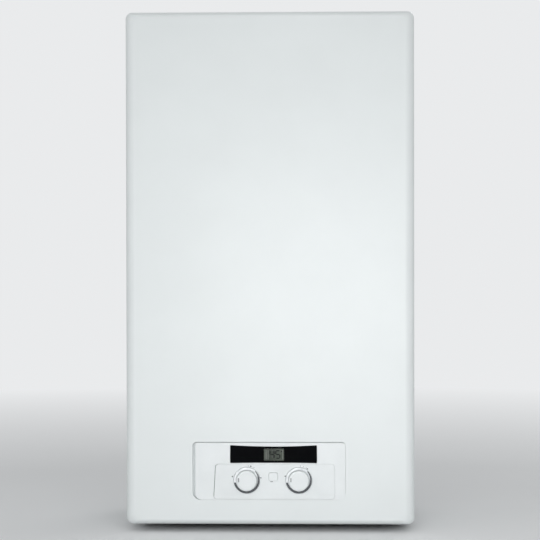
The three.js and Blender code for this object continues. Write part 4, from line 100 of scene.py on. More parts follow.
class Finish:
    """A Principled material and the node steps that the finishes share."""

    def __init__(self, name, colour, roughness, metallic=0.0):
        self.material = bpy.data.materials.new(name)
        self.material.use_nodes = True
        self.nodes = self.material.node_tree.nodes
        self.links = self.material.node_tree.links
        self.shader = self.nodes["Principled BSDF"]
        self.set("Base Color", (*colour, 1))
        self.set("Roughness", roughness)
        self.set("Metallic", metallic)
        self.coordinates = self.nodes.new("ShaderNodeTexCoord").outputs["Object"]
        self.normal = None

    def set(self, socket, value):
        """Gives a socket of the shader a constant."""
        self.shader.inputs[socket].default_value = value

    def stretched(self, stretch=(1, 1, 1)):
        """The object's coordinates, stretched along each axis."""
        mapping = self.nodes.new("ShaderNodeMapping")
        mapping.inputs["Scale"].default_value = [1 / share for share in stretch]
        self.links.new(self.coordinates, mapping.inputs["Vector"])
        return mapping.outputs["Vector"]

    def noise(self, size, detail=2.0, stretch=(1, 1, 1)):
        """Noise whose blobs are about `size` metres wide."""
        node = self.nodes.new("ShaderNodeTexNoise")
        node.inputs["Scale"].default_value = 1 / size
        node.inputs["Detail"].default_value = detail
        self.links.new(self.stretched(stretch), node.inputs["Vector"])
        return node.outputs["Fac"]

    def cells(self, size):
        """A random grey for each cell of about `size` metres."""
        node = self.nodes.new("ShaderNodeTexVoronoi")
        node.inputs["Scale"].default_value = 1 / size
        self.links.new(self.stretched(), node.inputs["Vector"])
        grey = self.nodes.new("ShaderNodeRGBToBW")
        self.links.new(node.outputs["Color"], grey.inputs["Color"])
        return grey.outputs["Val"]

    def bands(self, pitch, direction, waver=0.0):
        """Waves of one pitch, in metres, along an axis."""
        node = self.nodes.new("ShaderNodeTexWave")
        node.bands_direction = direction
        node.inputs["Scale"].default_value = BAND_SCALE / pitch
        node.inputs["Distortion"].default_value = waver
        self.links.new(self.coordinates, node.inputs["Vector"])
        return node.outputs["Fac"]

    def below(self, height):
        """1 below a height of the frame and 0 above it."""
        split = self.nodes.new("ShaderNodeSeparateXYZ")
        self.links.new(self.coordinates, split.inputs["Vector"])
        node = self.nodes.new("ShaderNodeMath")
        node.operation = "LESS_THAN"
        node.inputs[1].default_value = height
        self.links.new(split.outputs["Z"], node.inputs[0])
        return node.outputs["Value"]

    def times(self, one, other):
        """The product of two values."""
        node = self.nodes.new("ShaderNodeMath")
        node.operation = "MULTIPLY"
        self.links.new(one, node.inputs[0])
        self.links.new(other, node.inputs[1])
        return node.outputs["Value"]

    def spread(self, value, low, high, span=NOISE_SPAN):
        """A value between `low` and `high`, as the input goes over its span."""
        node = self.nodes.new("ShaderNodeMapRange")
        node.inputs["From Min"].default_value, node.inputs["From Max"].default_value = span
        node.inputs["To Min"].default_value, node.inputs["To Max"].default_value = low, high
        self.links.new(value, node.inputs["Value"])
        return node.outputs["Result"]

    def tint(self, value, low, high, span=NOISE_SPAN):
        """Colour between two tones of the finish."""
        node = self.nodes.new("ShaderNodeMix")
        node.data_type = "RGBA"
        colours = [socket for socket in node.inputs if socket.type == "RGBA"]
        colours[0].default_value = (*low, 1)
        colours[1].default_value = (*high, 1)
        self.links.new(self.spread(value, 0, 1, span), node.inputs["Factor"])
        result = next(socket for socket in node.outputs if socket.type == "RGBA")
        self.links.new(result, self.shader.inputs["Base Color"])

    def polish(self, value, low, high, span=NOISE_SPAN):
        """Roughness between two values."""
        self.links.new(self.spread(value, low, high, span), self.shader.inputs["Roughness"])

    def relief(self, value, depth):
        """Bumps `depth` metres deep, over those already there."""
        node = self.nodes.new("ShaderNodeBump")
        node.inputs["Strength"].default_value = 1
        node.inputs["Distance"].default_value = depth
        self.links.new(value, node.inputs["Height"])
        if self.normal is not None:
            self.links.new(self.normal, node.inputs["Normal"])
        self.normal = node.outputs["Normal"]
        self.links.new(self.normal, self.shader.inputs["Normal"])


def shade(colour, share):
    """A colour made darker or lighter."""
    return tuple(channel * share for channel in colour)


def paint(name, colour, roughness, peel):
    """Sprayed or powder-coated paint: orange peel of a millimetre or two under a thin gloss."""
    finish = Finish(name, colour, roughness)
    finish.set("Specular IOR Level", 0.5)
    finish.set("Coat Weight", 0.12)
    finish.set("Coat Roughness", 0.25)
    finish.tint(finish.noise(0.09, 3), shade(colour, 0.985), shade(colour, 1.01))
    finish.polish(finish.noise(0.02, 4), roughness - 0.04, roughness + 0.05)
    finish.relief(finish.noise(0.0016, 2), peel)
    return finish


def plastic(name, colour, roughness, grain):
    """Moulded plastic with the fine grain of its mould."""
    finish = Finish(name, colour, roughness)
    finish.tint(finish.noise(0.03, 2), shade(colour, 0.97), shade(colour, 1.02))
    finish.polish(finish.noise(0.008, 3), roughness - 0.05, roughness + 0.05)
    finish.relief(finish.noise(0.0006, 2), grain)
    return finish


def cast(name, colour, roughness):
    """Cast metal: grainy skin, darker in its hollows."""
    finish = Finish(name, colour, roughness, 1.0)
    grain = finish.noise(0.0011, 5)
    finish.tint(finish.noise(0.012, 5), shade(colour, 0.72), shade(colour, 1.08))
    finish.polish(grain, roughness - 0.1, roughness + 0.12)
    finish.relief(grain, 0.00012)
    return finish


def galvanised():
    """Hot-dip galvanised sheet with its spangle."""
    light = (0.56, 0.58, 0.59)
    finish = Finish("galvanised", light, 0.42, 1.0)
    spangle = finish.cells(0.0055)
    finish.tint(spangle, shade(light, 0.9), shade(light, 1.03), (0.15, 0.85))
    finish.polish(spangle, 0.38, 0.46, (0.15, 0.85))
    finish.relief(finish.noise(0.004, 4), 0.00004)
    return finish


def copper():
    """Drawn copper tube, with faint brown staining and draw lines."""
    bright = (0.83, 0.42, 0.26)
    finish = Finish("copper", bright, 0.3, 1.0)
    stain = finish.noise(0.03, 6)
    finish.tint(stain, (0.42, 0.17, 0.09), bright, (0.3, 0.6))
    finish.polish(stain, 0.5, 0.26, (0.3, 0.6))
    finish.relief(finish.noise(0.0015, 3, (1, 1, 12)), 0.00003)
    return finish


def brass():
    """Cast brass, with cut threads on the connections below the shelf."""
    finish = cast("brass", (0.72, 0.53, 0.24), 0.42)
    pitch = 1.814 * MM
    shelf = BASE_Z + 18 * MM
    finish.relief(finish.times(finish.bands(pitch, "Z"), finish.below(shelf)), 0.0007)
    return finish


def steel():
    """Plain bright steel with fine rolling lines."""
    colour = (0.5, 0.51, 0.52)
    finish = Finish("steel", colour, 0.34, 1.0)
    lines = finish.noise(0.0012, 3, (14, 1, 1))
    finish.tint(lines, shade(colour, 0.8), shade(colour, 1.1))
    finish.polish(lines, 0.26, 0.42)
    finish.relief(lines, 0.00003)
    return finish


def chrome(name, colour, roughness):
    """Polished chrome plating with faint smudges."""
    finish = Finish(name, colour, roughness, 1.0)
    finish.polish(finish.noise(0.006, 4), roughness * 0.7, roughness * 1.5)
    finish.relief(finish.noise(0.02, 2), 0.00002)
    return finish


def dark_glass():
    """Black display window: polished, with a breath of dust."""
    finish = Finish("dark_glass", (0.0015, 0.0018, 0.0024), 0.08)
    finish.set("Specular IOR Level", 0.05)
    finish.polish(finish.noise(0.012, 5), 0.05, 0.16)
    finish.relief(finish.noise(0.03, 2), 0.00002)
    return finish


def lcd():
    """Unlit liquid-crystal glass over its grey-green reflector."""
    green = (0.05, 0.061, 0.048)
    finish = Finish("lcd", green, 0.22)
    finish.set("Specular IOR Level", 0.3)
    finish.tint(finish.bands(0.0275, "X", 0.4), shade(green, 0.8), shade(green, 1.2), (0, 1))
    finish.polish(finish.noise(0.004, 3), 0.18, 0.3)
    finish.relief(finish.bands(0.0003, "Z"), 0.00001)
    return finish


def board():
    """Green lacquered circuit board with copper tracks under the lacquer."""
    green = (0.016, 0.13, 0.045)
    finish = Finish("board", green, 0.3)
    tracks = finish.nodes.new("ShaderNodeTexBrick")
    tracks.inputs["Scale"].default_value = 110
    tracks.inputs["Mortar Size"].default_value = 0.06
    tracks.inputs["Color1"].default_value = (*green, 1)
    tracks.inputs["Color2"].default_value = (*shade(green, 0.75), 1)
    tracks.inputs["Mortar"].default_value = (0.05, 0.23, 0.07, 1)
    upright = finish.stretched()
    upright.node.inputs["Rotation"].default_value = (math.pi / 2, 0, 0)  # it stands in x and z
    finish.links.new(upright, tracks.inputs["Vector"])
    finish.links.new(tracks.outputs["Color"], finish.shader.inputs["Base Color"])
    finish.polish(finish.noise(0.01, 3), 0.24, 0.4)
    finish.relief(tracks.outputs["Fac"], 0.00005)
    return finish


def rubber():
    """Black rubber of seals and hoses, dull and mottled."""
    finish = Finish("rubber", (0.024, 0.025, 0.026), 0.72)
    finish.tint(finish.noise(0.01, 4), (0.019, 0.02, 0.021), (0.036, 0.037, 0.038))
    finish.polish(finish.noise(0.003, 3), 0.62, 0.85)
    finish.relief(finish.noise(0.0008, 4), 0.00006)
    return finish


def ceramic_fibre():
    """Pressed ceramic fibre board, rough and slightly scorched."""
    finish = Finish("ceramic_fibre", (0.79, 0.74, 0.62), 0.95)
    finish.tint(finish.noise(0.02, 6), (0.66, 0.58, 0.44), (0.84, 0.79, 0.68))
    finish.polish(finish.noise(0.004, 3), 0.88, 1.0)
    finish.relief(finish.noise(0.0012, 8, (3, 1, 1)), 0.0004)
    return finish


def ceramic():
    """Glazed ceramic of the electrode's insulator."""
    finish = Finish("ceramic", (0.86, 0.82, 0.74), 0.15)
    finish.set("Coat Weight", 0.6)
    finish.tint(finish.noise(0.006, 4), (0.8, 0.74, 0.64), (0.88, 0.85, 0.78))
    finish.polish(finish.noise(0.003, 3), 0.1, 0.24)
    finish.relief(finish.noise(0.002, 3), 0.00003)
    return finish


WHITE = (0.80, 0.835, 0.835)
FINISHES = {
    "white_paint": paint("white_paint", WHITE, 0.4, 0.00002),
    "galvanised": galvanised(),
    "aluminium": cast("aluminium", (0.68, 0.69, 0.7), 0.48),
    "copper": copper(),
    "brass": brass(),
    "steel": steel(),
    "chrome": chrome("chrome", (0.72, 0.74, 0.76), 0.09),
    "white_plastic": plastic("white_plastic", (0.82, 0.85, 0.855), 0.36, 0.000012),
    "grey_plastic": plastic("grey_plastic", (0.3, 0.32, 0.33), 0.5, 0.00003),
    "black_plastic": plastic("black_plastic", (0.014, 0.015, 0.016), 0.45, 0.00003),
    "red_plastic": plastic("red_plastic", (0.5, 0.022, 0.014), 0.4, 0.00002),
    "blue_plastic": plastic("blue_plastic", (0.02, 0.11, 0.4), 0.4, 0.00002),
    "dark_glass": dark_glass(),
    "lcd": lcd(),
    "board": board(),
    "rubber": rubber(),
    "ceramic_fibre": ceramic_fibre(),
    "ceramic": ceramic(),
    "red_enamel": paint("red_enamel", (0.5, 0.03, 0.02), 0.32, 0.00003),
    "black_paint": paint("black_paint", (0.02, 0.022, 0.024), 0.42, 0.00004),
}

# ---- CAD nodes: finish, softened edges and smooth shading ----------------------------------------

EDGE_R = 0.3 * MM
EDGE_RADII = {
    "front_cover": 0.15 * MM,
    "gas_valve": 1.0 * MM,
    "pump_body": 0.8 * MM,
    "transformer": 0.6 * MM,
}
EDGE_SEGMENTS = 2
WELD_GAP = 0.002 * MM
SHARP = math.radians(36)  # a steeper edge is rounded
SPLIT = math.radians(52)  # a steeper edge is left crisp


def soften(obj, radius):
    """Rounds the sharp edges of a mesh, if it is given a radius, and shades it smooth."""
    obj.data.polygons.foreach_set("use_smooth", [True] * len(obj.data.polygons))
    weld = obj.modifiers.new("weld", "WELD")
    weld.merge_threshold = WELD_GAP
    if radius:
        bevel = obj.modifiers.new("edges", "BEVEL")
        bevel.width = radius
        bevel.segments = EDGE_SEGMENTS
        bevel.limit_method = "ANGLE"
        bevel.angle_limit = SHARP
    split = obj.modifiers.new("crisp", "EDGE_SPLIT")
    split.split_angle = SPLIT
    split.use_edge_sharp = False
    normals = obj.modifiers.new("normals", "WEIGHTED_NORMAL")
    normals.keep_sharp = True


for row in frame["record"]["subparts"]:
    node = bpy.data.objects[row["node"]]
    node.data.materials.clear()
    node.data.materials.append(FINISHES[row["material_slot"]].material)
    soften(node, EDGE_RADII.get(row["node"], EDGE_R))


# ---- Making pieces -------------------------------------------------------------------------------

def piece(name, mesh, body, slot, finish=None, edge_r=0.0):
    """A piece of the scene from a bmesh in frame coordinates."""
    data = bpy.data.meshes.new(name)
    bmesh.ops.recalc_face_normals(mesh, faces=mesh.faces)
    mesh.to_mesh(data)
    mesh.free()
    obj = bpy.data.objects.new(name, data)
    bpy.context.scene.collection.objects.link(obj)
    data.materials.append((finish or FINISHES[slot]).material)
    soften(obj, edge_r)
    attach(obj, body)
    return obj


def ring(mesh, outline, y):
    """The points of an outline of (x, z), in millimetres, at one depth."""
    return [mesh.verts.new(at(x, y, z)) for x, z in outline]


def skirt(mesh, one, other):
    """Faces between two rings of as many points."""
    for i, _ in enumerate(one):
        j = (i + 1) % len(one)
        mesh.faces.new([one[i], one[j], other[j], other[i]])


def fill(mesh, *rings):
    """A flat face inside the first ring, round the others."""
    edges = []
    for points in rings:
        for i, point in enumerate(points):
            pair = (point, points[(i + 1) % len(points)])
            edges.append(mesh.edges.get(pair) or mesh.edges.new(pair))
    bmesh.ops.triangle_fill(mesh, edges=edges, use_beauty=True)


def prism(mesh, outline, rear_y, front_y):
    """A plate with square edges."""
    rear, front = ring(mesh, outline, rear_y), ring(mesh, outline, front_y)
    skirt(mesh, rear, front)
    mesh.faces.new(rear)
    mesh.faces.new(front)


def plate(mesh, outer, holes, face_y, rear_y, edge_r, hole_r):
    """A plate with rounded front edges. Its outlines are functions of how far they are grown."""
    sides = []
    for outline, way, radius in [(outer, -1, edge_r)] + [(hole, 1, hole_r) for hole in holes]:
        rings = [ring(mesh, outline(0), rear_y)]
        for step in range(ROUND_STEPS + 1):
            angle = math.pi / 2 * step / ROUND_STEPS
            drawn = way * radius * (1 - math.cos(angle))
            rings.append(ring(mesh, outline(drawn), face_y + radius * (1 - math.sin(angle))))
        for one, other in zip(rings, rings[1:]):
            skirt(mesh, one, other)
        sides.append((rings[0], rings[-1]))
    fill(mesh, *[rear for rear, _ in sides])
    fill(mesh, *[front for _, front in sides])


def turned(mesh, x, z, profile):
    """A body turned about a line along y, from a profile of (radius, y)."""
    closed = profile[0] == profile[-1]
    rows = []
    for radius, y in profile[:-1] if closed else profile:
        rows.append(ring(mesh, disc(x, z, radius, FINE_SIDES) if radius else [(x, z)], y))
    if closed:
        rows.append(rows[0])
    for one, other in zip(rows, rows[1:]):
        for i in range(FINE_SIDES):
            j = i + 1
            near = (one[i % len(one)], one[j % len(one)])
            far = (other[j % len(other)], other[i % len(other)])
            mesh.faces.new(list(dict.fromkeys(near + far)))


def arc(centre_x, centre_z, radius, start, steps=CORNER_STEPS):
    """A quarter circle of points from an angle in degrees, anticlockwise."""
    points = []
    for i in range(steps + 1):
        angle = math.radians(start + 90 * i / steps)
        points.append((centre_x + radius * math.cos(angle), centre_z + radius * math.sin(angle)))
    return points


def rounded(x, z, radius, foot_radius=None, steps=CORNER_STEPS):
    """A rounded rectangle's outline, from its spans in x and z."""
    foot = radius if foot_radius is None else foot_radius
    return [
        *arc(x[1] - radius, z[1] - radius, radius, 0, steps),
        *arc(x[0] + radius, z[1] - radius, radius, 90, steps),
        *arc(x[0] + foot, z[0] + foot, foot, 180, steps),
        *arc(x[1] - foot, z[0] + foot, foot, 270, steps),
    ]


def grown_box(x, z, radius):
    """A rounded rectangle as a function of how far it is grown."""
    return lambda grow: rounded((x[0] - grow, x[1] + grow), (z[0] - grow, z[1] + grow), radius + grow)


def disc(x, z, radius, sides=24):
    """A circle's outline."""
    return [
        (x + radius * math.cos(math.tau * i / sides), z + radius * math.sin(math.tau * i / sides))
        for i in range(sides)
    ]


# ---- Front cover ---------------------------------------------------------------------------------

SHEET = 1.2  # the cover's thickness
CASE_HALF_W = COVER_HIGH.x / MM
COVER_REAR_Y = COVER_HIGH.y / MM
COVER_EDGE_R = 13
COVER_BROW_R = 8
COVER_CORNER_R = 9
COVER_STEPS = 16  # of the long edges' quarter circle
LIP_HALF_W = 188
LIP_Y = (-223.2, -224.4)
LIP_Z = (691.8, 699.4)
NOTCH_X = 120
NOTCH_HALF_W = 14
NOTCH_TOP = 697.1
WINDOW_RETURN_Y = -273.8
WINDOW_EDGE_R = 1.7  # the sheet is turned in round the panel
WINDOW_GAPS = {"left": 2.5, "right": 0.04, "foot": 0.03, "top": 0.35}  # the panel is off centre
WINDOW_EDGES = {"left": 0.6, "right": 0.12, "foot": 0.04, "top": 0.9}  # shares of the radius
FASCIA_X = (-103, 103)
FASCIA_Z = (34.6, 112.6)
FASCIA_TOP_R = 4
FASCIA_FOOT_R = 9


def panel_outline(gaps, edges, grow):
    """The panel's outline with a gap at each side, grown by a share of its own at each side."""
    out = {side: gaps[side] + edges[side] * grow for side in gaps}
    corner = (out["left"] + out["right"]) / 2
    return rounded(
        (FASCIA_X[0] - out["left"], FASCIA_X[1] + out["right"]),
        (FASCIA_Z[0] - out["foot"], FASCIA_Z[1] + out["top"]),
        FASCIA_TOP_R + corner,
        FASCIA_FOOT_R + corner,
    )


def window_outline(grow):
    """The cover's window round the panel."""
    return panel_outline(WINDOW_GAPS, WINDOW_EDGES, grow)


def cover_outline(drawn_x, drawn_z):
    """The cover's outline, drawn in at the sides and at the top and foot."""
    return rounded(
        (-CASE_HALF_W + drawn_x, CASE_HALF_W - drawn_x),
        (drawn_z, CASE_H - drawn_z),
        COVER_CORNER_R,
    )


def cover_skin():
    """The pressed cover's outer skin; its thickness is given to it afterwards."""
    mesh = bmesh.new()
    rings = [ring(mesh, cover_outline(0, 0), COVER_REAR_Y)]
    for step in range(COVER_STEPS + 1):
        angle = math.pi / 2 * step / COVER_STEPS
        drawn = 1 - math.cos(angle)
        y = FACE_Y + COVER_EDGE_R * (1 - math.sin(angle))
        rings.append(ring(mesh, cover_outline(COVER_EDGE_R * drawn, COVER_BROW_R * drawn), y))
    turn = []
    for step in range(ROUND_STEPS + 1):
        angle = math.pi / 2 * step / ROUND_STEPS
        turn.append(ring(
            mesh,
            window_outline(WINDOW_EDGE_R * (1 - math.sin(angle))),
            FACE_Y + WINDOW_EDGE_R * (1 - math.cos(angle)),
        ))
    turn.append(ring(mesh, window_outline(0), WINDOW_RETURN_Y))
    for row in (rings, turn):
        for one, other in zip(row, row[1:]):
            skirt(mesh, one, other)
    fill(mesh, rings[-1], turn[0])
    skin = piece("cover_skin", mesh, "front_cover", "white_paint")
    sheet = skin.modifiers.new("sheet", "SOLIDIFY")
    sheet.thickness = SHEET * MM
    sheet.offset = -1
    sheet.use_even_offset = True
    skin.modifiers.move(len(skin.modifiers) - 1, 0)
    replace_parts(skin, "front_cover")


def cover_lip():
    """Turned-down lip at the rear of the cover's top, with a notch for each hook."""
    outline = [(-LIP_HALF_W, LIP_Z[1]), (-LIP_HALF_W, LIP_Z[0])]
    for middle in (-NOTCH_X, NOTCH_X):
        left, right = middle - NOTCH_HALF_W, middle + NOTCH_HALF_W
        outline += [(left, LIP_Z[0]), (left, NOTCH_TOP), (right, NOTCH_TOP), (right, LIP_Z[0])]
    outline += [(LIP_HALF_W, LIP_Z[0]), (LIP_HALF_W, LIP_Z[1])]
    mesh = bmesh.new()
    prism(mesh, outline, *LIP_Y)
    piece("cover_lip", mesh, "front_cover", "white_paint", edge_r=EDGE_R)


cover_skin()
cover_lip()

# ---- Control panel -------------------------------------------------------------------------------

PANEL_Y = -279.6  # the fascia's face, and that of the pieces set in it
PANEL_REAR_Y = -277.1
PANEL_WALL = 2.5
FASCIA_EDGE_R = 2.2
FASCIA_EDGES = {"left": 0.6, "right": 0.08, "foot": 0.04, "top": 0.5}  # shares of the radius
EVEN = dict.fromkeys(FASCIA_EDGES, 1)
FLUSH = dict.fromkeys(FASCIA_EDGES, 0)
GROOVE_GAPS = {**FLUSH, "left": 2.35}  # a sunk strip beside the fascia
GROOVE_Y = (-275.0, -274.3)
GROOVE_EDGE_R = 0.1
BASE_X = (-160, 160)  # the plate behind the cover, round the fascia
BASE_Z_SPAN = (14, 128)
BASE_CORNER_R = 3
BASE_FACE_Y = -265.3
BASE_REAR_Y = -262.3
BASE_EDGE_R = 0.6
BASE_HOLE_R = 0.3
INLAY_GAP = 0.25  # round what is set in a plate
INLAY_EDGE_R = 0.35
DISPLAY_X = (-54.2, 63.9)
DISPLAY_Z = (84.8, 108.8)
DISPLAY_R = 1.2
DISPLAY_DIP = 1.8
DISPLAY_RISE = 0.5
DISPLAY_HOLE_R = 0.2
BOW_STEPS = 20
LCD_X = (-8.3, 19.2)
LCD_Z = (88, 104.4)
LCD_R = 1
INSERT_LEFT_TOP = -74.1
INSERT_LEFT_FOOT = -76.8
INSERT_RIGHT = 88.2
INSERT_Z = (35.6, 83.2)
INSERT_R = 4
INSERT_GAP = 0.1
INSERT_LEFT_GAP = 0.45  # more than that, at its left side
BUTTON_LOW, BUTTON_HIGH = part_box("reset_button")
BUTTON_MIDDLE_X = (BUTTON_LOW.x + BUTTON_HIGH.x) / 2 / MM
BUTTON_HALF_W = 6
BUTTON_X = (BUTTON_MIDDLE_X - BUTTON_HALF_W, BUTTON_MIDDLE_X + BUTTON_HALF_W)
BUTTON_Z = (60.5, 71.5)
BUTTON_R = 2.5
BUTTON_GAP = 0.2
BLANK_X = (63.9, 87.0)
BLANK_Z = (42, 82)
BLANK_R = 4
BLANK_PROUD = 0.25
BLANK_SUNK = 0.2


def fascia_outline(grow):
    """The outside of the fascia's wall."""
    return panel_outline(FLUSH, EVEN, grow)


def fascia_hole(grow):
    """The inside of the fascia's wall."""
    return fascia_outline(grow - PANEL_WALL)


def fascia_face_outline(grow):
    """The fascia's face, rounded by a share of its own at each side."""
    return panel_outline(FLUSH, FASCIA_EDGES, grow)


def groove_outline(grow):
    """The strip that shows in the gap beside the fascia."""
    return panel_outline(GROOVE_GAPS, EVEN, grow)


def bowed(start, end, rise):
    """Points between two others on a parabola that rises in the middle."""
    points = []
    for i in range(1, BOW_STEPS):
        share = i / BOW_STEPS
        z = start[1] + (end[1] - start[1]) * share + 4 * rise * share * (1 - share)
        points.append((start[0] + (end[0] - start[0]) * share, z))
    return points


def display_outline(grow):
    """A long window whose top edge sags and whose lower edge rises a little in the middle."""
    outline = grown_box(DISPLAY_X, DISPLAY_Z, DISPLAY_R)(grow)
    corner = CORNER_STEPS + 1
    top = bowed(outline[corner - 1], outline[corner], -DISPLAY_DIP)
    foot = bowed(outline[3 * corner - 1], outline[3 * corner], DISPLAY_RISE)
    return outline[:corner] + top + outline[corner:3 * corner] + foot + outline[3 * corner:]


def insert_outline(grow, left_gap=0.0):
    """A panel whose left side slants, with more room there in its hole."""
    z_span = (INSERT_Z[0] - grow, INSERT_Z[1] + grow)
    square = rounded((0, INSERT_RIGHT + grow), z_span, INSERT_R + grow)
    height = INSERT_Z[1] - INSERT_Z[0]
    outline = []
    for x, z in square:
        share = (z - INSERT_Z[0]) / height
        left = INSERT_LEFT_FOOT + (INSERT_LEFT_TOP - INSERT_LEFT_FOOT) * share - grow - left_gap
        outline.append((x + left, z) if x < INSERT_RIGHT / 2 else (x, z))
    return outline


def insert_hole(grow):
    """The hole for the insert in the fascia's face."""
    return insert_outline(grow + INSERT_GAP, INSERT_LEFT_GAP)


def hole_round(outline, gap):
    """An outline grown by the gap round what is set in it."""
    return lambda grow: outline(grow + gap)


def circle_outline(x, radius):
    """A circle round a knob's axis."""
    return lambda grow: disc(x, KNOB_Z, radius + grow, FINE_SIDES)


def panel_plate(name, slot, outer, holes, ys, radii):
    """A plate of the control panel. `ys` are its face's and rear's, `radii` its rim's and holes'."""
    mesh = bmesh.new()
    plate(mesh, outer, holes, *ys, *radii)
    return piece(name, mesh, "casing", slot)


def fascia_wall():
    """The wall from the fascia's face back to its base."""
    mesh = bmesh.new()
    outlines = (fascia_outline(0), fascia_outline(-PANEL_WALL))
    outer, inner = (ring(mesh, outline, PANEL_REAR_Y) for outline in outlines)
    outer_rear, inner_rear = (ring(mesh, outline, BASE_FACE_Y) for outline in outlines)
    skirt(mesh, outer, inner)
    skirt(mesh, outer, outer_rear)
    skirt(mesh, inner, inner_rear)
    skirt(mesh, outer_rear, inner_rear)
    piece("fascia_wall", mesh, "casing", "white_plastic")


def control_panel():
    """The fascia with its groove, wall and base, and the plates set in it."""
    face_ys = (PANEL_Y, PANEL_REAR_Y)
    panel_plate(
        "fascia_groove", "white_plastic", groove_outline, [fascia_hole],
        GROOVE_Y, (GROOVE_EDGE_R, GROOVE_EDGE_R),
    )
    face = panel_plate(
        "fascia_face", "white_plastic", fascia_face_outline,
        [hole_round(display_outline, INLAY_GAP), insert_hole],
        face_ys, (FASCIA_EDGE_R, INLAY_EDGE_R),
    )
    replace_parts(face, "control_fascia")
    fascia_wall()
    panel_plate(
        "fascia_base", "white_plastic", grown_box(BASE_X, BASE_Z_SPAN, BASE_CORNER_R),
        [fascia_hole], (BASE_FACE_Y, BASE_REAR_Y), (BASE_EDGE_R, BASE_HOLE_R),
    )

    holes = [circle_outline(x, RING_R + INLAY_GAP) for x in KNOBS.values()]
    holes.append(hole_round(grown_box(BUTTON_X, BUTTON_Z, BUTTON_R), BUTTON_GAP))
    insert = panel_plate(
        "insert_face", "white_plastic", insert_outline, holes,
        face_ys, (INLAY_EDGE_R, INLAY_EDGE_R),
    )
    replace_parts(insert, "control_insert")

    holes = [hole_round(grown_box(LCD_X, LCD_Z, LCD_R), INLAY_GAP)]
    glass = panel_plate(
        "display_glass", "dark_glass", display_outline, holes,
        face_ys, (INLAY_EDGE_R, DISPLAY_HOLE_R),
    )
    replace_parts(glass, "display_window")

    panel_plate(
        "blank_plate", "white_plastic", grown_box(BLANK_X, BLANK_Z, BLANK_R), [],
        (PANEL_Y - BLANK_PROUD, PANEL_Y + BLANK_SUNK), (BLANK_PROUD, 0),
    )


# ---- Knobs ---------------------------------------------------------------------------------------

KNOB_Z = 61
KNOBS = {"heating": -31.8, "hot_water": 39.4}  # their x
KNOB_R = 14
KNOB_Y = (-276.5, -288.95)
KNOB_EDGE_R = 2.5
KNOB_STEPS = 16
KNOB_BORE_R = 3.3
KNOB_BORE_Y = -285.9
KNOB_WELD_GAP = 0.001 * MM
POINTER_X = (-11.3, -10.0)  # from the knob's axis
POINTER_Z = (-1.4, 4.2)
POINTER_R = 0.5
POINTER_PROUD = 0.05
RING_R = 18
RING_INNER_R = 14.2
RING_HOLE_R = 4
RING_REAR_Y = -274.6
RING_FLOOR_Y = -276.2
RING_RIM_Y = -281.0
RING_EDGE_R = 0.6
# the dark crescent on each ring's rim is a painted reflection of dark surroundings
REFLECTION_START, REFLECTION_END = 190, 408  # degrees, anticlockwise from the right
REFLECTION_STEPS = 64
REFLECTION_R = 17.6
REFLECTION_W = 3.3
REFLECTION_SWELL = (0.2, 0.77, 0.6)  # the sine's start and span in half turns, and its power
REFLECTION_Y = (-280.9, -281.3)
REFLECTION_EDGE_R = 0.08
MARK_PROUD = 0.04  # of the panel's face
MARK_SUNK = 0.2
DOT_R = 0.95
DOTS = ((-51.3, 66.2), (-12.5, 64.5), (20.7, 66.8), (51.0, 76.9), (-26.3, 80.4))
DASH_X = (0.6, 4.0)  # under the button
DASH_Z = (58.9, 59.8)
DASH_R = 0.3
TICK_ANGLES = (60, 72, 84)
TICK_HALF_W = 0.25
TICK_RADII = (19.2, 20.6)
MARK = plastic("mark", (0.18, 0.187, 0.195), 0.5, 0.000005)
SATIN_CHROME = chrome("satin_chrome", (0.76, 0.78, 0.79), 0.55)
# dark chrome for the painted reflection on the rings' lower rims
PAINTED_DARK_REFLECTION = chrome("painted_dark_reflection", (0.105, 0.11, 0.117), 0.22)


def knob(name, x):
    """A knob's cap with its pointer."""
    cap = bmesh.new()
    profile = [(KNOB_BORE_R, KNOB_Y[0]), (KNOB_R, KNOB_Y[0])]
    for step in range(KNOB_STEPS + 1):
        angle = math.pi / 2 * step / KNOB_STEPS
        radius = KNOB_R - KNOB_EDGE_R * (1 - math.cos(angle))
        profile.append((radius, KNOB_Y[1] + KNOB_EDGE_R * (1 - math.sin(angle))))
    profile += [(0, KNOB_Y[1])]
    turned(cap, x, KNOB_Z, profile)
    bore = [(KNOB_BORE_R, KNOB_Y[0]), (KNOB_BORE_R, KNOB_BORE_Y), (0, KNOB_BORE_Y)]
    turned(cap, x, KNOB_Z, bore)
    bmesh.ops.remove_doubles(cap, verts=cap.verts, dist=KNOB_WELD_GAP)
    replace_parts(piece(f"{name}_cap", cap, name, "white_plastic"), name)

    pointer = bmesh.new()
    dash = rounded(
        (x + POINTER_X[0], x + POINTER_X[1]),
        (KNOB_Z + POINTER_Z[0], KNOB_Z + POINTER_Z[1]),
        POINTER_R,
        steps=4,
    )
    prism(pointer, dash, KNOB_Y[1] + POINTER_PROUD, KNOB_Y[1] - POINTER_PROUD)
    piece(f"{name}_pointer", pointer, name, "grey_plastic", MARK)


def knob_ring(name, node, x):
    """The satin ring round a knob."""
    cup = bmesh.new()
    profile = [(RING_HOLE_R, RING_REAR_Y), (RING_R, RING_REAR_Y)]
    for edge, start in ((RING_R - RING_EDGE_R, 0), (RING_INNER_R + RING_EDGE_R, 90)):
        for step in range(ROUND_STEPS + 1):
            angle = math.radians(start + 90 * step / ROUND_STEPS)
            profile.append((
                edge + RING_EDGE_R * math.cos(angle),
                RING_RIM_Y + RING_EDGE_R * (1 - math.sin(angle)),
            ))
    profile += [(RING_INNER_R, RING_FLOOR_Y), (RING_HOLE_R, RING_FLOOR_Y)]
    profile.append(profile[0])
    turned(cup, x, KNOB_Z, profile)
    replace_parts(piece(name, cup, "casing", "chrome", SATIN_CHROME), node)


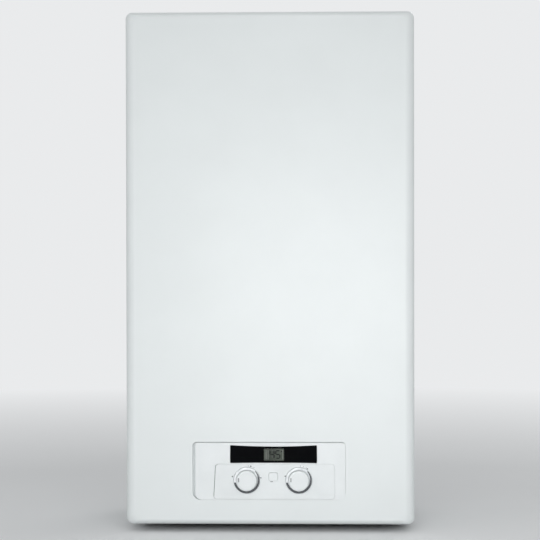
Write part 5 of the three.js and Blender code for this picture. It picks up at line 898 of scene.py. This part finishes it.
def ring_painted_reflection(name, x):
    """A painted reflection: a dark crescent on a ring's rim, widest at its foot, darkening the rim as
    if it reflected dark surroundings.
    """
    painted_reflection = bmesh.new()
    first, span, power = REFLECTION_SWELL
    inner, outer = [], []
    for step in range(REFLECTION_STEPS + 1):
        share = step / REFLECTION_STEPS
        angle = math.radians(REFLECTION_START + (REFLECTION_END - REFLECTION_START) * share)
        width = REFLECTION_W * math.sin(math.pi * (first + span * share)) ** power
        for row, radius in ((inner, REFLECTION_R - width), (outer, REFLECTION_R)):
            row.append((x + radius * math.cos(angle), KNOB_Z + radius * math.sin(angle)))
    rows = [
        [painted_reflection.verts.new(at(px, y, pz)) for px, pz in row]
        for row, y in ((inner, REFLECTION_Y[0]), (inner, REFLECTION_Y[1]), (outer, REFLECTION_Y[1]), (outer, REFLECTION_Y[0]))
    ]
    for one, other in zip(rows, rows[1:] + rows[:1]):
        for i in range(REFLECTION_STEPS):
            painted_reflection.faces.new([one[i], one[i + 1], other[i + 1], other[i]])
    for end in (0, REFLECTION_STEPS):
        painted_reflection.faces.new([row[end] for row in rows])
    piece(name, painted_reflection, "casing", "chrome", PAINTED_DARK_REFLECTION, edge_r=REFLECTION_EDGE_R * MM)


def marks():
    """Plain grey dots and ticks round the knobs and under the button."""
    mesh = bmesh.new()
    ys = (PANEL_Y + MARK_SUNK, PANEL_Y - MARK_PROUD)
    for x, z in DOTS:
        prism(mesh, disc(x, z, DOT_R), *ys)
    prism(mesh, rounded(DASH_X, DASH_Z, DASH_R, steps=3), *ys)
    for x in KNOBS.values():
        for degrees in TICK_ANGLES:
            angle = math.radians(degrees)
            along = Vector((math.cos(angle), math.sin(angle)))
            across = Vector((-along.y, along.x)) * TICK_HALF_W
            near, far = (along * radius for radius in TICK_RADII)
            corners = [near - across, far - across, far + across, near + across]
            prism(mesh, [(x + p.x, KNOB_Z + p.y) for p in corners], *ys)
    piece("panel_marks", mesh, "casing", "grey_plastic", MARK)


control_panel()
for control, knob_x in KNOBS.items():
    knob(f"{control}_knob", knob_x)
    knob_ring(f"{control}_ring", f"{control}_knob_ring", knob_x)
    ring_painted_reflection(f"{control}_ring_painted_reflection", knob_x)
marks()

# ---- Display's readout ---------------------------------------------------------------------------

LCD_FACE_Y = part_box("lcd_module")[0].y / MM
INK_SUNK = 0.05
INK_PROUD = 0.03
READOUT_Y = (LCD_FACE_Y + INK_SUNK, LCD_FACE_Y - INK_PROUD)
DIGIT_W = 5.4
DIGIT_H = 10.2
STROKE = 1.5
STROKE_GAP = 0.18  # from a stroke's tip to the corner it points at
SEGMENTS = {"4": "fgbc", "5": "afgcd"}  # a at the top, b to f clockwise from it, g in the middle
DIGITS = {"4": 0.2, "5": 8.0}  # their left sides
DIGITS_Z = 91.3
DEGREE = (15.6, 100.4, 0.9)  # x, z and radius
DEGREE_SIDES = 12
BARS_X = (-6.6, -4.6, -2.6, 17.4)
BARS_Z = (89.6, 102.8)
BAR_HALF_W = 0.4
BAR_R = 0.2
INK = plastic("lcd_ink", (0.006, 0.008, 0.007), 0.3, 0.000005)
INK.set("Specular IOR Level", 0.1)
PALE_INK = plastic("lcd_pale", (0.14, 0.155, 0.135), 0.3, 0.000005)


def digit(mesh, number, x, z):
    """A seven-segment numeral with its lower left corner at x, z."""
    half = DIGIT_H / 2
    level = {"a": DIGIT_H, "g": half, "d": 0}
    upright = {"f": (0, half), "b": (DIGIT_W, half), "c": (DIGIT_W, 0)}
    tip = STROKE / 2
    for name in SEGMENTS[number]:
        if name in level:
            left, right, mid = x + STROKE_GAP, x + DIGIT_W - STROKE_GAP, z + level[name]
            outline = [
                (left, mid), (left + tip, mid + tip), (right - tip, mid + tip),
                (right, mid), (right - tip, mid - tip), (left + tip, mid - tip),
            ]
        else:
            mid, foot = x + upright[name][0], z + upright[name][1] + STROKE_GAP
            top = foot + half - 2 * STROKE_GAP
            outline = [
                (mid, foot), (mid + tip, foot + tip), (mid + tip, top - tip),
                (mid, top), (mid - tip, top - tip), (mid - tip, foot + tip),
            ]
        prism(mesh, outline, *READOUT_Y)


numerals = bmesh.new()
for figure, figure_x in DIGITS.items():
    digit(numerals, figure, figure_x, DIGITS_Z)
prism(numerals, disc(*DEGREE, DEGREE_SIDES), *READOUT_Y)
piece("lcd_numerals", numerals, "casing", "lcd", INK)

bars = bmesh.new()
for bar_x in BARS_X:
    bar = rounded((bar_x - BAR_HALF_W, bar_x + BAR_HALF_W), BARS_Z, BAR_R, steps=2)
    prism(bars, bar, *READOUT_Y)
piece("lcd_bars", bars, "casing", "lcd", PALE_INK)

# ---- Light, floor and camera ---------------------------------------------------------------------

FLOOR_DROP = 0.4 * MM  # floor below the connections
FLOOR_R = 9.0
FLOOR_SIDES = 96
FLOOR_FADE = (0.9, 2.6)  # from the floor's middle, in metres
WORLD_LIGHT = (0.5, 0.51, 0.515)
BACKGROUND = (0.82, 0.83, 0.84)
IMAGE_SIDE_PX = 540
PHOTO_MM_PER_PX = 1.3615  # on the cover's face
PHOTO_AIM = (0.5, 348)  # x and height of the photograph's middle, in mm
CAMERA_DISTANCE = 2.8  # from the cover's face
CAMERA_AZIMUTH = math.radians(2.0)
CAMERA_ELEVATION = math.radians(0.8)
CAMERA_ROLL = math.radians(-0.1)
SENSOR = 36.0
LAMPS = (  # name, place, aim, size in metres, power in watts, and whether gloss shows it
    ("key", (-1.9, -2.4, 1.0), at(0, FACE_Y, CASE_H / 2), (1.0, 1.0), 5, True),
    ("front", at(75, FACE_Y - 850, 290), at(75, FACE_Y, 290), (0.4, 0.4), 2.3, True),
    ("low", (0.3, -2.2, -0.2), at(0, FACE_Y, 40), (1.8, 0.5), 2.6, False),
    ("top", (0.1, -1.0, 1.2), at(0, FACE_Y, CASE_H), (0.9, 0.3), 1.3, True),
    ("rear", (1.5, 2.8, 1.5), (0, 0, -0.2), (1.6, 1.6), 14, True),
)


def seen_rays(nodes, links):
    """1 where a ray comes from the camera, a mirror or glass."""
    path = nodes.new("ShaderNodeLightPath")
    seen = path.outputs["Is Camera Ray"]
    for kind in ("Is Glossy Ray", "Is Transmission Ray"):
        either = nodes.new("ShaderNodeMath")
        either.operation = "MAXIMUM"
        links.new(seen, either.inputs[0])
        links.new(path.outputs[kind], either.inputs[1])
        seen = either.outputs["Value"]
    return seen


def floor():
    """A round pale floor that turns into the background far from the part."""
    mesh = bmesh.new()
    z = CAD_BOX[0][2] - FLOOR_DROP
    mesh.faces.new([mesh.verts.new((x, y, z)) for x, y in disc(0, 0, FLOOR_R, FLOOR_SIDES)])
    data = bpy.data.meshes.new("floor")
    mesh.to_mesh(data)
    mesh.free()
    obj = bpy.data.objects.new("floor", data)
    bpy.context.scene.collection.objects.link(obj)
    finish = Finish("floor", (0.8, 0.805, 0.81), 0.85)
    finish.tint(finish.noise(0.6, 3), (0.79, 0.795, 0.8), (0.81, 0.815, 0.82))
    finish.relief(finish.noise(0.004, 3), 0.00005)
    nodes, links = finish.nodes, finish.links
    away = nodes.new("ShaderNodeVectorMath")
    away.operation = "LENGTH"
    links.new(finish.coordinates, away.inputs[0])
    far = finish.spread(away.outputs["Value"], 0, 1, FLOOR_FADE)
    pale = nodes.new("ShaderNodeEmission")
    pale.inputs["Color"].default_value = (*BACKGROUND, 1)
    mix = nodes.new("ShaderNodeMixShader")
    links.new(finish.times(far, seen_rays(nodes, links)), mix.inputs["Fac"])
    links.new(finish.shader.outputs["BSDF"], mix.inputs[1])
    links.new(pale.outputs["Emission"], mix.inputs[2])
    links.new(mix.outputs["Shader"], nodes["Material Output"].inputs["Surface"])
    data.materials.append(finish.material)


def lamp(name, place, aim, size, power, mirrored):
    """A soft lamp that looks at a point, and that gloss may show or not."""
    data = bpy.data.lights.new(name, "AREA")
    data.shape = "RECTANGLE"
    data.size, data.size_y = size
    data.energy = power
    obj = bpy.data.objects.new(name, data)
    obj.location = place
    obj.visible_glossy = mirrored
    obj.rotation_euler = (Vector(aim) - Vector(place)).to_track_quat("-Z", "Y").to_euler()
    bpy.context.scene.collection.objects.link(obj)


def world():
    """Even light from all round, with a pale background for the camera, mirrors and glass."""
    setting = bpy.context.scene.world or bpy.data.worlds.new("world")
    bpy.context.scene.world = setting
    setting.use_nodes = True
    nodes, links = setting.node_tree.nodes, setting.node_tree.links
    nodes.clear()
    lit = nodes.new("ShaderNodeBackground")
    lit.inputs["Color"].default_value = (*WORLD_LIGHT, 1)
    pale = nodes.new("ShaderNodeBackground")
    pale.inputs["Color"].default_value = (*BACKGROUND, 1)
    mix = nodes.new("ShaderNodeMixShader")
    links.new(seen_rays(nodes, links), mix.inputs["Fac"])
    links.new(lit.outputs["Background"], mix.inputs[1])
    links.new(pale.outputs["Background"], mix.inputs[2])
    links.new(mix.outputs["Shader"], nodes.new("ShaderNodeOutputWorld").inputs["Surface"])


def camera():
    """The photograph's view: nearly square on, from a little to the right."""
    aim = at(PHOTO_AIM[0], FACE_Y, PHOTO_AIM[1])
    level = math.cos(CAMERA_ELEVATION)
    back = Vector((
        math.sin(CAMERA_AZIMUTH) * level,
        -math.cos(CAMERA_AZIMUTH) * level,
        math.sin(CAMERA_ELEVATION),
    ))
    data = bpy.data.cameras.new("camera")
    data.sensor_width = SENSOR
    data.lens = SENSOR * CAMERA_DISTANCE / (IMAGE_SIDE_PX * PHOTO_MM_PER_PX * MM)
    obj = bpy.data.objects.new("camera", data)
    obj.location = aim + back * CAMERA_DISTANCE
    turn = (-back).to_track_quat("-Z", "Y").to_matrix() @ Matrix.Rotation(CAMERA_ROLL, 3, "Z")
    obj.rotation_euler = turn.to_euler()
    bpy.context.scene.collection.objects.link(obj)
    bpy.context.scene.camera = obj


floor()
world()
for lamp_row in LAMPS:
    lamp(*lamp_row)
camera()

bpy.context.scene.view_settings.view_transform = "Standard"
